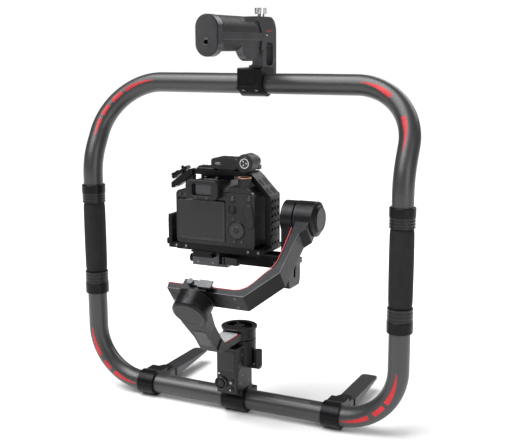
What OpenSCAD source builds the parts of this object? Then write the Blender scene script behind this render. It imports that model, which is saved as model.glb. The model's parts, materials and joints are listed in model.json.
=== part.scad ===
// Two-handed ring grip with a three-axis gimbal stabilizer, a hinged top handle, folding feet and a camera.
// Millimetres. Origin: on the ground under the middle of the centre clamp. +X right as seen by the operator,
// +Y forward (the way the lens looks), +Z up.

/* [Ring tube] */
// Distance between the centre lines of the two side tubes
ring_w = 500; // [480:5:520]
// Outer diameter of the ring's tube
tube_d = 30; // [29:0.5:31]
// Wall of the ring's tube
tube_wall = 2; // [1.6:0.1:2.2]
// Bend radius of the two lower corners, to the tube's centre line
low_bend_r = 82; // [76:1:90]
// Bend radius of the two upper corners, to the tube's centre line
top_bend_r = 90; // [86:1:94]
// Height at which the side tubes start to lean forward
lean_z = 344; // [343.5:0.5:346]
// Angle by which the upper part leans forward
lean_angle = 28.9; // [27:0.1:30]
// Radius of the lean's bend
lean_r = 99; // [97:1:101]
// Straight stretch between the lean's bend and the upper corner
lean_run = 18.5; // [16:0.5:21]

/* [Side grips] */
// Height of the foam's lower end
foam_z = 191; // [189:1:193]
// Length of the foam sleeve
foam_len = 111; // [110:1:113]
// Radius of the foam sleeve
foam_r = 16.6; // [16:0.1:17]
// Length of each upper ribbed end ring
top_ring_len = 15; // [14:1:16]
// Length of each upper coupling collar
top_collar_len = 13; // [12:1:14]
// Length of each lower ribbed end ring
low_ring_len = 18; // [17:1:19]
// Length of each lower coupling collar
low_collar_len = 17; // [16:1:18]
// Outer radius of the coupling collars
collar_r = 18.2; // [18:0.1:18.8]

/* [Clamps and feet] */
// Outer radius of every clamp round the tube
clamp_r = 19; // [18.6:0.1:19.4]
// Width of the centre clamp
mid_clamp_w = 38; // [36:1:40]
// Width of each foot clamp
side_clamp_w = 27; // [26:1:29]
// Distance of each foot clamp from the middle
foot_x = 154.5; // [152:0.5:156]
// Length of a foot from its pivot to its tip
foot_len = 120; // [110:1:125]
// Width of a foot
foot_w = 26; // [24:1:26]

/* [Top handle] */
// Width of the handle
handle_w = 34; // [33:0.5:34.5]
// Height of the handle
handle_h = 55; // [53:1:56]
// Length of the handle from its pivot to the end cap
handle_len = 89; // [85:1:95]
// Radius of the handle's pivot disc
disc_r = 31; // [30.5:0.1:31.2]

/* [Gimbal axes] */
// Height where the pan, roll and tilt axes meet
axes_z = 302; // [301:0.5:303]
// Angle of the roll axis above the horizontal
roll_rise = 38; // [37.5:0.1:38.5]
// Distance along the roll axis from the roll motor's cap to the meeting point
roll_reach = 187.7; // [186:0.1:189]
// Outer radius of the pan and tilt motors
motor_r = 25; // [24.8:0.1:25.2]

/* [Payload] */
// Middle of the lens, sideways
lens_x = -30; // [-32:1:-28]
// Height of the camera's underside
camera_z = 260.8; // [260.7:0.1:261]

/* [Hidden] */
$fn = 64;
e = 0.05;                                   // running clearance of shafts
tube_r = tube_d / 2;
bore_r = tube_r - tube_wall;
side_x = ring_w / 2;
tube_z = 20;                                // height of the bottom tube's centre
top_run = lean_run + top_bend_r;
top_y = lean_r * (1 - cos(lean_angle)) + top_run * sin(lean_angle);
top_z = lean_z + lean_r * sin(lean_angle) + top_run * cos(lean_angle);
foam_top = foam_z + foam_len;
upper_end = foam_top + top_ring_len;        // lower end of the upper tube
lower_end = foam_z - low_ring_len;          // upper end of the lower tube
plug = 24;                                  // depth that a grip tube plugs into its neighbours
split = 0.3;                                // half gap between two clamp halves
clamp_top = 39;
foot_pin_y = 45;
foot_z = [11, 24];
top_clamp_x = [-18, 21];
top_clamp_high = 510;
pivot_y = 24;
pivot_z = 551;
handle_z = 555;
cap_len = 16;
pan_y = 8;
base_z = clamp_top;
base_top = 108;
base_front = -35;
pan_low = 75;
pan_high = 112;
hub_z = 113.5;
hub_top = 131;
roll_r = 25.6;
roll_open = 26;                             // open face of the roll motor, along its axis
tilt_x = 97.5;                              // open face of the tilt motor
tilt_back = 124.5;
tilt_face = 90;                             // outer face of the upright tilt arm
tilt_disc = 95;                             // outer face of its round head

// ---------------------------------------------------------------- shared shapes
module ring2d(ro, ri) {
  difference() {
    circle(ro);
    circle(ri);
  }
}
module tube(len, ro, ri) {
  linear_extrude(len) ring2d(ro, ri);
}
// Rectangle with true round corners
module round2d(w, h, r) {
  square([w - 2 * r, h], center = true);
  square([w, h - 2 * r], center = true);
  for (x = [-1, 1], y = [-1, 1]) translate([x * (w / 2 - r), y * (h / 2 - r)]) circle(r);
}
module along_x(x0, x1) {
  translate([x0, 0, 0]) rotate([90, 0, 90]) linear_extrude(x1 - x0) children();
}
module along_y(y0, y1) {
  translate([0, y1, 0]) rotate([90, 0, 0]) linear_extrude(y1 - y0) children();
}
module along_z(z0, z1) {
  translate([0, 0, z0]) linear_extrude(z1 - z0) children();
}
module box(x, y, z) {
  translate([x[0], y[0], z[0]]) cube([x[1] - x[0], y[1] - y[0], z[1] - z[0]]);
}
module rod_x(x0, x1, r) { translate([x0, 0, 0]) rotate([0, 90, 0]) cylinder(r = r, h = x1 - x0); }
module rod_y(y0, y1, r) { translate([0, y1, 0]) rotate([90, 0, 0]) cylinder(r = r, h = y1 - y0); }
module rod_z(z0, z1, r) { translate([0, 0, z0]) cylinder(r = r, h = z1 - z0); }
// Lathe from (radius, height) points
module lathe(points) {
  rotate_extrude() polygon(points);
}
// Knurled wheel: a disc with straight flutes cut in its rim
module knurled(r, len, flutes, depth) {
  difference() {
    cylinder(r = r, h = len);
    for (i = [0 : flutes - 1]) rotate(i * 360 / flutes)
      translate([r + depth * 0.35, 0, -1]) cylinder(r = depth, h = len + 2, $fn = 16);
  }
}

// ---------------------------------------------------------------- ring
// Quarter of a tube bend in the X-Z plane about a centre, from start angle
module corner(x, z, r, start) {
  translate([x, 0, z]) rotate([90, 0, 0]) rotate(start) rotate_extrude(angle = 90)
    translate([r, 0]) ring2d(tube_r, bore_r);
}
module leaned() {
  translate([0, lean_r, lean_z]) rotate([-lean_angle, 0, 0]) translate([0, -lean_r, 0]) children();
}
module lower_tube() color([0.2, 0.2, 0.21]) {
  leg_z = tube_z + low_bend_r;
  for (s = [-1, 1]) {
    translate([s * side_x, 0, leg_z]) tube(lower_end - leg_z, tube_r, bore_r);
    corner(s * (side_x - low_bend_r), leg_z, low_bend_r, s < 0 ? 180 : 270);
  }
  translate([0, 0, tube_z]) along_x(low_bend_r - side_x, side_x - low_bend_r) ring2d(tube_r, bore_r);
}
// The lean's bend is drawn a hair thinner than the tubes that it joins, which take its ends in
module upper_tube() color([0.2, 0.2, 0.21]) {
  hair = 0.22;
  for (s = [-1, 1]) {
    translate([s * side_x, 0, upper_end]) tube(lean_z - upper_end, tube_r, bore_r);
    translate([s * side_x, lean_r, lean_z]) rotate([90, 0, 90]) rotate(180)
      rotate_extrude(angle = -lean_angle) translate([lean_r, 0]) ring2d(tube_r - hair, bore_r + hair);
    leaned() translate([s * side_x, 0, -0.5]) tube(lean_run + 0.5, tube_r, bore_r);
    leaned() corner(s * (side_x - top_bend_r), lean_run, top_bend_r, s < 0 ? 90 : 0);
  }
  leaned() translate([0, 0, top_run]) along_x(top_bend_r - side_x, side_x - top_bend_r)
    ring2d(tube_r, bore_r);
}
module grip_tubes() color([0.3, 0.3, 0.31])
  for (s = [-1, 1]) translate([s * side_x, 0, lower_end - plug])
    tube(upper_end - lower_end + 2 * plug, bore_r, bore_r - 2);
module foam_grip_left() foam_sleeve(-1);
module foam_grip_right() foam_sleeve(1);
module foam_sleeve(s) color([0.07, 0.07, 0.08])
  translate([s * side_x, 0, foam_z]) tube(foam_len, foam_r, bore_r);
// Ring with three raised ribs
module ribbed_ring(len) {
  rib = len / 7;
  lathe(concat([[bore_r, 0]],
    [for (i = [0 : 6]) for (k = [0, 1]) [i % 2 == 0 ? 17.8 : 17.1, (i + k) * rib]], [[bore_r, len]]));
}
module grip_end_rings() color([0.12, 0.12, 0.13])
  for (s = [-1, 1]) {
    translate([s * side_x, 0, foam_top]) ribbed_ring(top_ring_len);
    translate([s * side_x, 0, lower_end]) ribbed_ring(low_ring_len);
  }
// Clamping collar with chamfered rims
module collar(len) {
  c = 0.8;
  lathe([[tube_r, 0], [collar_r - c, 0], [collar_r, c], [collar_r, len - c], [collar_r - c, len],
    [tube_r, len]]);
}
module coupling_collars() color([0.16, 0.16, 0.17])
  for (s = [-1, 1]) {
    translate([s * side_x, 0, upper_end]) collar(top_collar_len);
    translate([s * side_x, 0, lower_end - low_collar_len]) collar(low_collar_len);
  }

// ---------------------------------------------------------------- clamps
flange = [0, 29];                           // forward flange that the clamp screws pass through
screw_y = 23;
// Screw places: [x, y, z of the head's seat]
low_screws = concat([for (x = [-12, 12]) [x, screw_y, 3]],
  [for (s = [-1, 1], x = [-8, 8]) [s * foot_x + x, screw_y, 3]]);
top_screws = [for (x = [-9, 12], y = [-1, 1]) [x, top_y + y * 18.9, 476]];
screw_len = 28;
module clamp_holes(places) {
  for (p = places) translate(p) {
    rod_z(-8, 3.4, 2.9);
    rod_z(3, screw_len + 1, 1.55);
  }
}
module tube_hole_x(y, z) {
  translate([0, y, z]) rod_x(-60, 60, tube_r);
}
// Side outline of a clamp on the bottom tube: round collar, flat underside and forward flange
module clamp_outline(low, high, flange_low, flange_high) {
  intersection() {
    union() {
      translate([0, tube_z]) circle(clamp_r);
      translate([-4, 0]) square([16, 10]);
      translate([flange[0], flange_low]) square([flange[1], flange_high - flange_low]);
    }
    translate([-40, low]) square([80, high - low]);
  }
}
// The lower half of the top clamp has ribs between its screw pockets
module clamp_lower_halves() color([0.13, 0.13, 0.14]) {
  difference() {
    along_x(-mid_clamp_w / 2, mid_clamp_w / 2) clamp_outline(0, tube_z - split, 3, 30);
    tube_hole_x(0, tube_z);
    clamp_holes(low_screws);
    rod_z(-1, 4, 3.175);
  }
  for (s = [-1, 1]) translate([s * foot_x, 0, 0]) difference() {
    union() {
      along_x(-side_clamp_w / 2, side_clamp_w / 2) clamp_outline(0, tube_z - split, 3, 30);
      foot_ear(foot_z[0] - 5, foot_z[0] - 0.4);
    }
    tube_hole_x(0, tube_z);
    translate([-s * foot_x, 0, 0]) clamp_holes(low_screws);
    translate([0, foot_pin_y, 0]) rod_z(-1, 40, 3);
  }
  difference() {
    along_x(top_clamp_x[0], top_clamp_x[1]) translate([top_y, 0]) intersection() {
      union() {
        translate([0, top_z]) circle(clamp_r);
        translate([-22, 478]) square([44, 20]);
      }
      translate([-40, 440]) square([80, top_z - split - 440]);
    }
    tube_hole_x(top_y, top_z);
    clamp_holes(top_screws);
    for (x = [-16, -5, 6], y = [-1, 1]) translate([x, top_y + y * 22, 0])
      box([0, 9], [-2, 2], [470, 483]);
  }
}
// Ear that holds one end of a foot's pivot pin
module foot_ear(z0, z1) {
  along_z(z0, z1) {
    translate([0, foot_pin_y]) circle(12.5);
    translate([-12.5, flange[1] - 1]) square([25, foot_pin_y - flange[1] + 1]);
  }
}
module center_clamp_upper() color([0.15, 0.15, 0.16]) difference() {
  union() {
    along_x(-mid_clamp_w / 2, mid_clamp_w / 2) clamp_outline(tube_z + split, 60, 3, 32);
    box([-17, 17], [-17, 17], [30, clamp_top]);
    box([-12, 12], [-8, 8], [clamp_top - 1, clamp_top + 4]);
  }
  tube_hole_x(0, tube_z);
  clamp_holes(low_screws);
}
module foot_clamp_uppers() color([0.15, 0.15, 0.16])
  for (s = [-1, 1]) translate([s * foot_x, 0, 0]) difference() {
    union() {
      along_x(-side_clamp_w / 2, side_clamp_w / 2) clamp_outline(tube_z + split, 60, 3, 36.5);
      foot_ear(foot_z[1] + 0.4, foot_z[1] + 5);
    }
    tube_hole_x(0, tube_z);
    translate([-s * foot_x, 0, 0]) clamp_holes(low_screws);
    translate([0, foot_pin_y, 0]) rod_z(-1, 40, 3);
  }
module top_clamp_upper() color([0.17, 0.17, 0.18]) difference() {
  along_x(top_clamp_x[0], top_clamp_x[1]) translate([top_y, 0])
    polygon([[-22, top_z + split], [22, top_z + split], [22, 506],
      [18, top_clamp_high], [-20, top_clamp_high], [-22, 508]]);
  tube_hole_x(top_y, top_z);
  clamp_holes(top_screws);
}
module clamp_screws() color([0.35, 0.35, 0.36])
  for (p = concat(low_screws, top_screws)) translate(p) difference() {
    union() {
      rod_z(0.4, 3.4, 2.85);
      rod_z(3.4, screw_len, 1.5);
    }
    translate([0, 0, -1]) cylinder(r = 1.45, h = 3.2, $fn = 6);
  }
// Pins of the two feet and of the handle
module pivot_pins() color([0.5, 0.5, 0.5]) {
  for (s = [-1, 1]) translate([s * foot_x, foot_pin_y, 0]) rod_z(foot_z[0] - 5, foot_z[1] + 5, 3);
  at_pivot() rod_x(-13, 13, 4);
}
// Wedge foot: flat on top, thick at the pivot and thin at the tip, with a lightening pocket below
module foot(s) color([0.24, 0.24, 0.25]) translate([s * foot_x, foot_pin_y, 0]) difference() {
  union() {
    intersection() {
      along_x(-foot_w / 2, foot_w / 2) polygon([[14, foot_z[0]], [20, foot_z[0]],
        [foot_len, foot_z[1] - 2.5], [foot_len, foot_z[1]], [14, foot_z[1]]]);
      along_z(0, 30) translate([0, foot_len / 2 + 5]) round2d(foot_w, foot_len - 10, 7);
    }
    rod_z(foot_z[0], foot_z[1], 11);
    box([-11, 11], [0, 15], foot_z);
  }
  rod_z(-1, 30, 3 + e);
  along_x(-foot_w / 2 + 4, foot_w / 2 - 4) polygon([[22, 5], [88, 5], [88, 18.5], [22, 20]]);
}
module foot_left() foot(-1);
module foot_right() foot(1);

// ---------------------------------------------------------------- top handle
module at_pivot() {
  translate([0, pivot_y, pivot_z]) children();
}
// Bracket in front of the handle: seat for the pivot disc, a slot through both cheeks, a leg on the clamp and
// a tongue with the pin
screw_at = [8, 70];
module handle_bracket() color([0.28, 0.28, 0.29]) {
  difference() {
    along_x(-handle_w / 2, handle_w / 2) difference() {
      union() {
        translate([57, top_clamp_high]) square([47, 40]);
        translate([88, 496]) square([16, 20]);
        translate([38, 536]) square([45, 47]);
        translate([82, 561]) circle(22);
        translate([82, 540]) square([22, 21]);
      }
      translate([pivot_y, pivot_z]) circle(disc_r + 0.5);
      translate([30, 571]) square([13, 20]);
      // slot right through the cheeks
      translate([80.5, 529.5]) round2d(23, 33, 6);
    }
    translate([screw_at[0], screw_at[1], 0]) rod_z(562, 590, 3);
    // the left half of the neck is open
    box([-20, 0], [50, 80], [500, 536]);
  }
  difference() {
    along_x(-6, 2.5) difference() {
      union() {
        translate([pivot_y, pivot_z]) circle(9.3);
        translate([pivot_y, pivot_z]) rotate(-14) translate([0, -8]) square([36, 16]);
      }
      translate([56.5, 500]) square([40, 60]);
    }
    at_pivot() rod_x(-10, 10, 4);
  }
}
// Stadium section of the handle's end cap, grown or shrunk by g
module stadium(g) {
  translate([0, handle_z]) round2d(handle_w + 2 * g, handle_h + 2 * g, handle_w / 2 + g - 0.01);
}
// Section of the handle's body, its underside set in from the cap's
module grip2d(g) {
  translate([0, handle_z + 3.2]) round2d(handle_w + 2 * g, handle_h - 6.4 + 2 * g, handle_w / 2 + g - 0.01);
}
body_y = pivot_y - handle_len;
stripe = [549, 560];
disc = [3, 14.6];                           // the disc that hangs below the handle
// Room of the handle's body: square behind the pivot, round about it in front
module handle_room(y0, y1) {
  intersection() {
    box([-20, 20], [y0, y1], [500, 600]);
    union() {
      box([-20, 20], [y0, pivot_y], [500, 600]);
      at_pivot() rod_x(-20, 20, disc_r);
    }
  }
}
module handle_core() color([0.2, 0.2, 0.21]) difference() {
  union() {
    intersection() {
      handle_room(body_y, pivot_y + disc_r);
      along_y(body_y - 1, pivot_y + disc_r + 1) intersection() {
        grip2d(0);
        union() {
          grip2d(-2.2);
          translate([-20, stripe[0]]) square([40, stripe[1] - stripe[0]]);
        }
      }
    }
    at_pivot() rod_x(disc[0], disc[1], disc_r);
  }
  // slot for the bracket's tongue
  at_pivot() box([-6.4, 2.9], [-10, 40], [-40, 22]);
  at_pivot() rod_x(-13.2, 13.2, 4 + e);
  along_y(body_y - 1, -20) translate([0, handle_z]) circle(9);
}
module handle_pads() color([0.1, 0.1, 0.11]) {
  for (half = [[stripe[1] + 0.05, 600], [500, stripe[0] - 0.05]]) difference() {
    intersection() {
      handle_room(body_y + 2, pivot_y + 12);
      along_y(body_y, pivot_y + 14) difference() {
        intersection() {
          grip2d(0);
          translate([-20, half[0]]) square([40, half[1] - half[0]]);
        }
        grip2d(-2.2);
      }
    }
    at_pivot() rod_x(disc[0] - 0.1, disc[1] + 0.1, disc_r + 0.1);
    at_pivot() box([-6.4, 2.9], [-10, 40], [-40, 22]);
  }
}
module handle_end_cap() color([0.24, 0.24, 0.25]) difference() {
  union() {
    along_y(body_y - cap_len + 2, body_y) stadium(0.5);
    along_y(body_y - cap_len, body_y - cap_len + 2) stadium(-0.8);
  }
  translate([0, 0, 546.5]) rod_y(body_y - cap_len - 1, body_y - cap_len + 12, 3.175);
}
module thumb_screw() color([0.75, 0.75, 0.76]) translate([screw_at[0], screw_at[1], 0]) {
  translate([0, 0, 587]) knurled(9, 8.5, 24, 0.8);
  rod_z(583.2, 587, 5);
  rod_z(563, 583.2, 3 - e);
}

// ---------------------------------------------------------------- motors
// Housing, stator and rotor along +Z, from the closed back at 0 to the open face at h; the rotor's hub stands
// out of the open face by out
module motor_can(r, h) {
  difference() {
    cylinder(r = r, h = h);
    rod_z(2.5, h + 1, r - 2.2);
  }
  translate([0, 0, 2.5]) tube(h - 7.5, 9, 7);
}
module motor_core(r, h) {
  translate([0, 0, 4.5]) difference() {
    cylinder(r = r - 6, h = h - 12.5);
    rod_z(-1, h, 9);
    for (i = [0 : 8]) rotate(i * 40) translate([r - 6, 0, -1]) cylinder(r = 1.6, h = h, $fn = 16);
  }
  translate([0, 0, h - 10]) tube(5, 7, 5);
}
module motor_rotor(r, h, out) {
  rod_z(5, h + out, 5 - e);
  translate([0, 0, 4]) tube(h - 6, r - 3, r - 5.3);
  rod_z(h - 4, h - 2, r - 3);
  rod_z(h - 2, h + out, 12);
}
module at_pan() { translate([0, pan_y, pan_low]) children(); }
module at_roll() {
  translate([0, pan_y - roll_reach * cos(roll_rise), axes_z - roll_reach * sin(roll_rise)])
    rotate([roll_rise - 90, 0, 0]) children();
}
module at_tilt() { translate([tilt_back, pan_y, axes_z]) rotate([0, -90, 0]) children(); }
pan_h = pan_high - pan_low;
cap_h = 6;
roll_h = roll_open - cap_h;
tilt_h = tilt_back - tilt_x;

// ---------------------------------------------------------------- gimbal base
base_w = 34;
module base_block(inset) {
  along_z(base_z + inset, base_top - inset)
    translate([0, (base_front + 18) / 2]) round2d(base_w - 2 * inset, 53 - 2 * inset, 4 - inset / 2);
}
module base_solid() {
  difference() {
    base_block(0);
    base_block(2.2);
    box([-12.1, 12.1], [-8.1, 8.1], [base_z - 1, clamp_top + 4.05]);
  }
}
module pan_space(r) {
  translate([0, pan_y, 0]) rod_z(pan_low, 140, r);
}
stick = [-8, 54];
mode_at = [9, 57];
record_at = [8, 43.5 + 2];
module base_shell_rear() color([0.17, 0.17, 0.18]) difference() {
  union() {
    intersection() {
      base_solid();
      box([-30, 30], [-50, -6.05], [0, 200]);
    }
    translate([stick[0], 0, stick[1]]) rod_y(base_front - 2.5, base_front + 1, 9.5);
  }
  pan_space(motor_r);
  // screen recess, stick well, button holes
  box([-14.2, 14.2], [base_front - 1, base_front + 1.4], [72.8, 103.2]);
  translate([stick[0], 0, stick[1]]) rod_y(base_front - 4, base_front + 0.2, 7.6);
  translate([stick[0], 0, stick[1]]) rod_y(base_front - 4, base_front + 5, 4.6);
  translate([mode_at[0], 0, mode_at[1]]) rod_y(base_front - 4, base_front + 5, 4.2);
  translate([record_at[0], 0, record_at[1]]) rod_y(base_front - 4, base_front + 5, 4.2);
}
module base_shell_front() color([0.17, 0.17, 0.18]) difference() {
  union() {
    intersection() {
      base_solid();
      box([-30, 30], [-5.95, 30], [0, 200]);
    }
    box([16.5, 34.5], [4.5, 13.5], [68, 72]);
    for (s = [-1, 1]) box([s * 8 - 1.4, s * 8 + 1.4], [17, 24], [66, 74]);
  }
  pan_space(motor_r);
  translate([0, 21, 70]) rod_x(-12, 12, 1.5);
  translate([31, 9, 0]) rod_z(66, 74, 2.5);
}
module base_screen() color([0.1, 0.1, 0.11])
  along_y(base_front - 0.7, base_front + 1.4) translate([0, 88]) round2d(28, 30, 2);
module control_board() color([0.05, 0.3, 0.15]) {
  box([-12, 12], [-31, -29.4], [50, 102]);
  for (z = [60, 78, 92]) box([-6, 5], [-29.4, -27], [z, z + 7]);
}
module joystick() color([0.12, 0.12, 0.13]) translate([stick[0], 0, stick[1]]) rotate([90, 0, 0])
  translate([0, 0, -base_front]) {
    lathe([[0, 0.8], [3.5, 0.8], [5.6, 1.6], [6.2, 3.2], [5.4, 5], [3.2, 4.5], [0, 4.2]]);
    rod_z(-3.4, 1, 2.2);
    translate([0, 0, -2]) rod_x(-3.2, 3.2, 1.3);
  }
module push_button(at) {
  translate([at[0], 0, at[1]]) {
    rod_y(base_front - 1.3, base_front + 2.8, 4);
    rod_y(base_front + 2.8, base_front + 3, 3);
  }
}
module mode_button() color([0.3, 0.3, 0.3]) push_button(mode_at);
module record_button() color([0.8, 0.8, 0.8]) push_button(record_at);
module trigger() color([0.2, 0.2, 0.21]) difference() {
  along_x(-6.3, 6.3) polygon([[18.8, 72.5], [23.6, 72.5], [26, 48], [21.6, 48], [19.2, 64]]);
  translate([0, 21, 70]) rod_x(-8, 8, 1.5);
}
module side_dial() color([0.25, 0.25, 0.26]) translate([31, 9, 0]) {
  translate([0, 0, 72.5]) knurled(5.8, 24, 12, 0.9);
  rod_z(68, 72.5, 2.5 - e);
}
module pan_motor_housing() color([0.2, 0.2, 0.21]) at_pan() motor_can(motor_r, pan_h);
module pan_motor_core() color([0.7, 0.4, 0.2]) at_pan() motor_core(motor_r, pan_h);

// ---------------------------------------------------------------- pan stage
module pan_rotor() color([0.5, 0.5, 0.52]) at_pan() motor_rotor(motor_r, pan_h, hub_z - pan_high);
bar_low = 116;
bar_top = 126;
bar_half = 15;
module pan_arm() color([0.2, 0.2, 0.21]) difference() {
  union() {
    translate([0, pan_y, 0]) rod_z(hub_z, hub_top - 2.5, motor_r);
    along_x(-bar_half, bar_half) polygon([[pan_y, bar_low], [-75, bar_low], [-85, 124], [-74, 136],
      [-64, bar_top], [pan_y, bar_top]]);
    // strut across the roll axis, wide at the motor
    at_roll() translate([0, 0, 3]) linear_extrude(19) polygon([[-22, 0], [21, 0], [18, 24], [13.5, 50],
      [13.5, 88], [-14, 88], [-14, 58], [-21, 24]]);
  }
  at_roll() rod_z(-1, roll_open + 1, roll_r);
  // seat of the light top plate
  box([-12.6, 12.6], [-62, -19], [bar_top - 1.2, bar_top + 5]);
  translate([0, pan_y, 0]) difference() {
    rod_z(hub_top - 6, hub_top, 21);
    rod_z(hub_top - 7, hub_top + 1, 8);
  }
}
// Light plate let into the arm and the light crescent on the hub, joined by a bridge
module pan_arm_plate() color([0.78, 0.79, 0.8]) {
  along_z(bar_top - 1.2, bar_top + 0.8) translate([0, -40.5]) round2d(25, 42.8, 4);
  translate([0, pan_y, hub_top - 2.5]) difference() {
    cylinder(r = 27, h = 2.5);
    difference() {
      rod_z(-1, 4, 20);
      rod_z(-2, 5, 8);
      translate([-30, -30, -1]) cube([60, 24, 6]);
      rotate(35) translate([-1.5, 0, -1]) cube([3, 30, 6]);
    }
  }
}
module roll_motor_housing() color([0.22, 0.22, 0.23])
  at_roll() translate([0, 0, cap_h]) motor_can(roll_r, roll_h);
module roll_motor_cap() color([0.2, 0.2, 0.21]) at_roll()
  lathe([[0, 0], [roll_r - 4, 0], [roll_r - 1.2, 1], [roll_r, 3], [roll_r, cap_h], [0, cap_h]]);
module roll_motor_core() color([0.7, 0.4, 0.2])
  at_roll() translate([0, 0, cap_h]) motor_core(roll_r, roll_h);

// ---------------------------------------------------------------- roll stage
saddle = [27.5, 44];
arm_s = [29.6, 40];
arm_half = 15.5;
module roll_rotor() color([0.5, 0.5, 0.52])
  at_roll() translate([0, 0, cap_h]) motor_rotor(roll_r, roll_h, saddle[0] - roll_open);
lock_y = -arm_half - 6;                     // top of the saddle's block, across the roll axis
lock_x = -4;
module roll_saddle() color([0.2, 0.2, 0.21]) at_roll() difference() {
  union() {
    intersection() {
      rod_z(saddle[0], saddle[1], roll_r);
      box([-30, 30], [lock_y, 30], saddle);
    }
    box([-17, 21], [lock_y, 0], saddle);
  }
  box([-40, 40], [-arm_half - 0.3, arm_half + 0.3], [arm_s[0] - 0.3, arm_s[1] + 0.3]);
  translate([lock_x, lock_y, 37]) rotate([90, 0, 0]) rod_z(-4, 1, 2);
}
// Flat locking lever on top of the saddle, with a round boss and a finger plate
module roll_lock() color([0.6, 0.6, 0.62])
  at_roll() translate([lock_x, lock_y - 0.2, 37]) rotate([90, 0, 0]) {
    rod_z(0, 6.5, 4.5);
    rod_z(-3.5, 0, 2 - e);
    translate([0, -3.5, 0]) cube([16, 7, 3]);
    translate([12, -6, 1]) cube([20, 12, 3]);
  }
// Bent bar in the plane of the roll axis: along X behind the saddle, out and forward to the tilt motor
module roll_arm() color([0.2, 0.2, 0.21]) at_roll() difference() {
  rotate([90, 0, 0]) linear_extrude(2 * arm_half, center = true)
    polygon([[-42, arm_s[0]], [75, arm_s[0]], [111, 76], [114.5, 146], [123, 156], [123, roll_reach],
      [101, roll_reach], [102, 125], [101.5, 96], [99, 86], [80, 55.5], [74, 47.5], [66, 42], [57, arm_s[1]],
      [-44, arm_s[1]]]);
  // room for the tilt motor
  translate([0, 0, roll_reach]) rotate([0, 90, 0]) cylinder(r = motor_r, h = 300, center = true);
}
module tilt_motor_housing() color([0.2, 0.2, 0.21]) at_tilt() motor_can(motor_r, tilt_h);
module tilt_motor_cap() color([0.22, 0.22, 0.23]) at_tilt() translate([0, 0, -cap_h])
  lathe([[0, 0], [17, 0], [19, 1.2], [20.5, 3], [motor_r - 0.6, 4.6], [motor_r, cap_h], [0, cap_h]]);
module tilt_motor_core() color([0.7, 0.4, 0.2]) at_tilt() motor_core(motor_r, tilt_h);

// ---------------------------------------------------------------- tilt stage
arm_x = 77.5;
arm_end = 201;
level_z = [229, 246];
level_y = [-9, 25];
module tilt_rotor() color([0.5, 0.5, 0.52]) at_tilt() motor_rotor(motor_r, tilt_h, tilt_x - tilt_disc);
module tilt_arm() color([0.2, 0.2, 0.21]) difference() {
  union() {
    translate([0, pan_y, axes_z]) rod_x(arm_x, tilt_disc, motor_r - 0.4);
    along_x(arm_x, tilt_face) translate([pan_y, 0]) {
      translate([-20, arm_end + 12]) square([40, axes_z - arm_end - 12]);
      translate([0, arm_end + 12]) intersection() {
        circle(20);
        translate([-20, -12]) square([40, 13]);
      }
    }
  }
  // guide slot for the level arm's clamp bolt
  translate([0, pan_y, 0]) along_x(arm_x - 1, tilt_face + 1) translate([0, 237]) round2d(6.2, 46, 3);
}
module camera_arm() color([0.26, 0.26, 0.27]) difference() {
  union() {
    box([-10, arm_x - 0.05], level_y, level_z);
    translate([0, pan_y, 237.5]) rod_x(arm_x - 1, tilt_face + 3, 2.9);
  }
  box([-11, 72], [level_y[0] + 5, level_y[1] - 5], [level_z[1] - 3, 260]);
}
module arm_lock() color([0.3, 0.3, 0.31]) translate([tilt_face + 0.3, pan_y, 237.5]) rotate([0, 90, 0])
  difference() {
    union() {
      cylinder(r = 8, h = 5);
      translate([-4, 0, 0]) cube([8, 17, 4]);
    }
    rod_z(-1, 2.8, 2.95);
  }
qr_x = [-53, -10.05];
qr_y = [-35, 45];
slot_z = 243;
module dovetail2d(w, z0, z1, g) {
  translate([(qr_x[0] + qr_x[1]) / 2, 0]) polygon([[-w / 2 - 3 - g, z0], [w / 2 + 3 + g, z0],
    [w / 2 + g, z1], [-w / 2 - g, z1]]);
}
lever_at = [-3, -28];
module qr_base() color([0.24, 0.24, 0.25]) difference() {
  union() {
    box(qr_x, qr_y, [229, 249.6]);
    box([qr_x[1] - 1, lever_at[0] + 6], [lever_at[1] - 6, lever_at[1] + 6], [229, 233]);
  }
  translate([lever_at[0], lever_at[1], 0]) rod_z(228, 234, 2);
  along_y(qr_y[0] - 1, qr_y[1] + 1) dovetail2d(27, slot_z, 251, 0.3);
  translate([0, -22, 236]) rod_x(-60, -40, 2.6);
}
module qr_knob() color([0.4, 0.4, 0.41]) translate([0, -22, 236]) {
  translate([-62.5, 0, 0]) rotate([0, 90, 0]) knurled(6, 9, 16, 0.8);
  rod_x(-53.5, -42, 2.55);
}
// Lever beside the rear of the quick-release base, free end to the right
module qr_lever() color([0.16, 0.16, 0.17]) translate([lever_at[0], lever_at[1], 0]) {
  along_z(233.3, 244) {
    circle(6);
    rotate(-10) translate([0, -5]) square([24, 7.5]);
  }
  rod_z(229.5, 233.3, 2 - e);
}

// ---------------------------------------------------------------- payload
module camera_plate() color([0.3, 0.3, 0.31]) {
  along_y(-45, 50) dovetail2d(27, slot_z + 0.3, 250, 0);
  box([-50, -13], [-45, 50], [250, 252]);
}
cage_x = [-82, 62];
module hole_row(x, y, z0, z1, count) {
  for (i = [0 : count - 1]) translate([0, y, z0 + i * (z1 - z0) / (count - 1)]) rod_x(x[0], x[1], 2.4);
}
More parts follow.
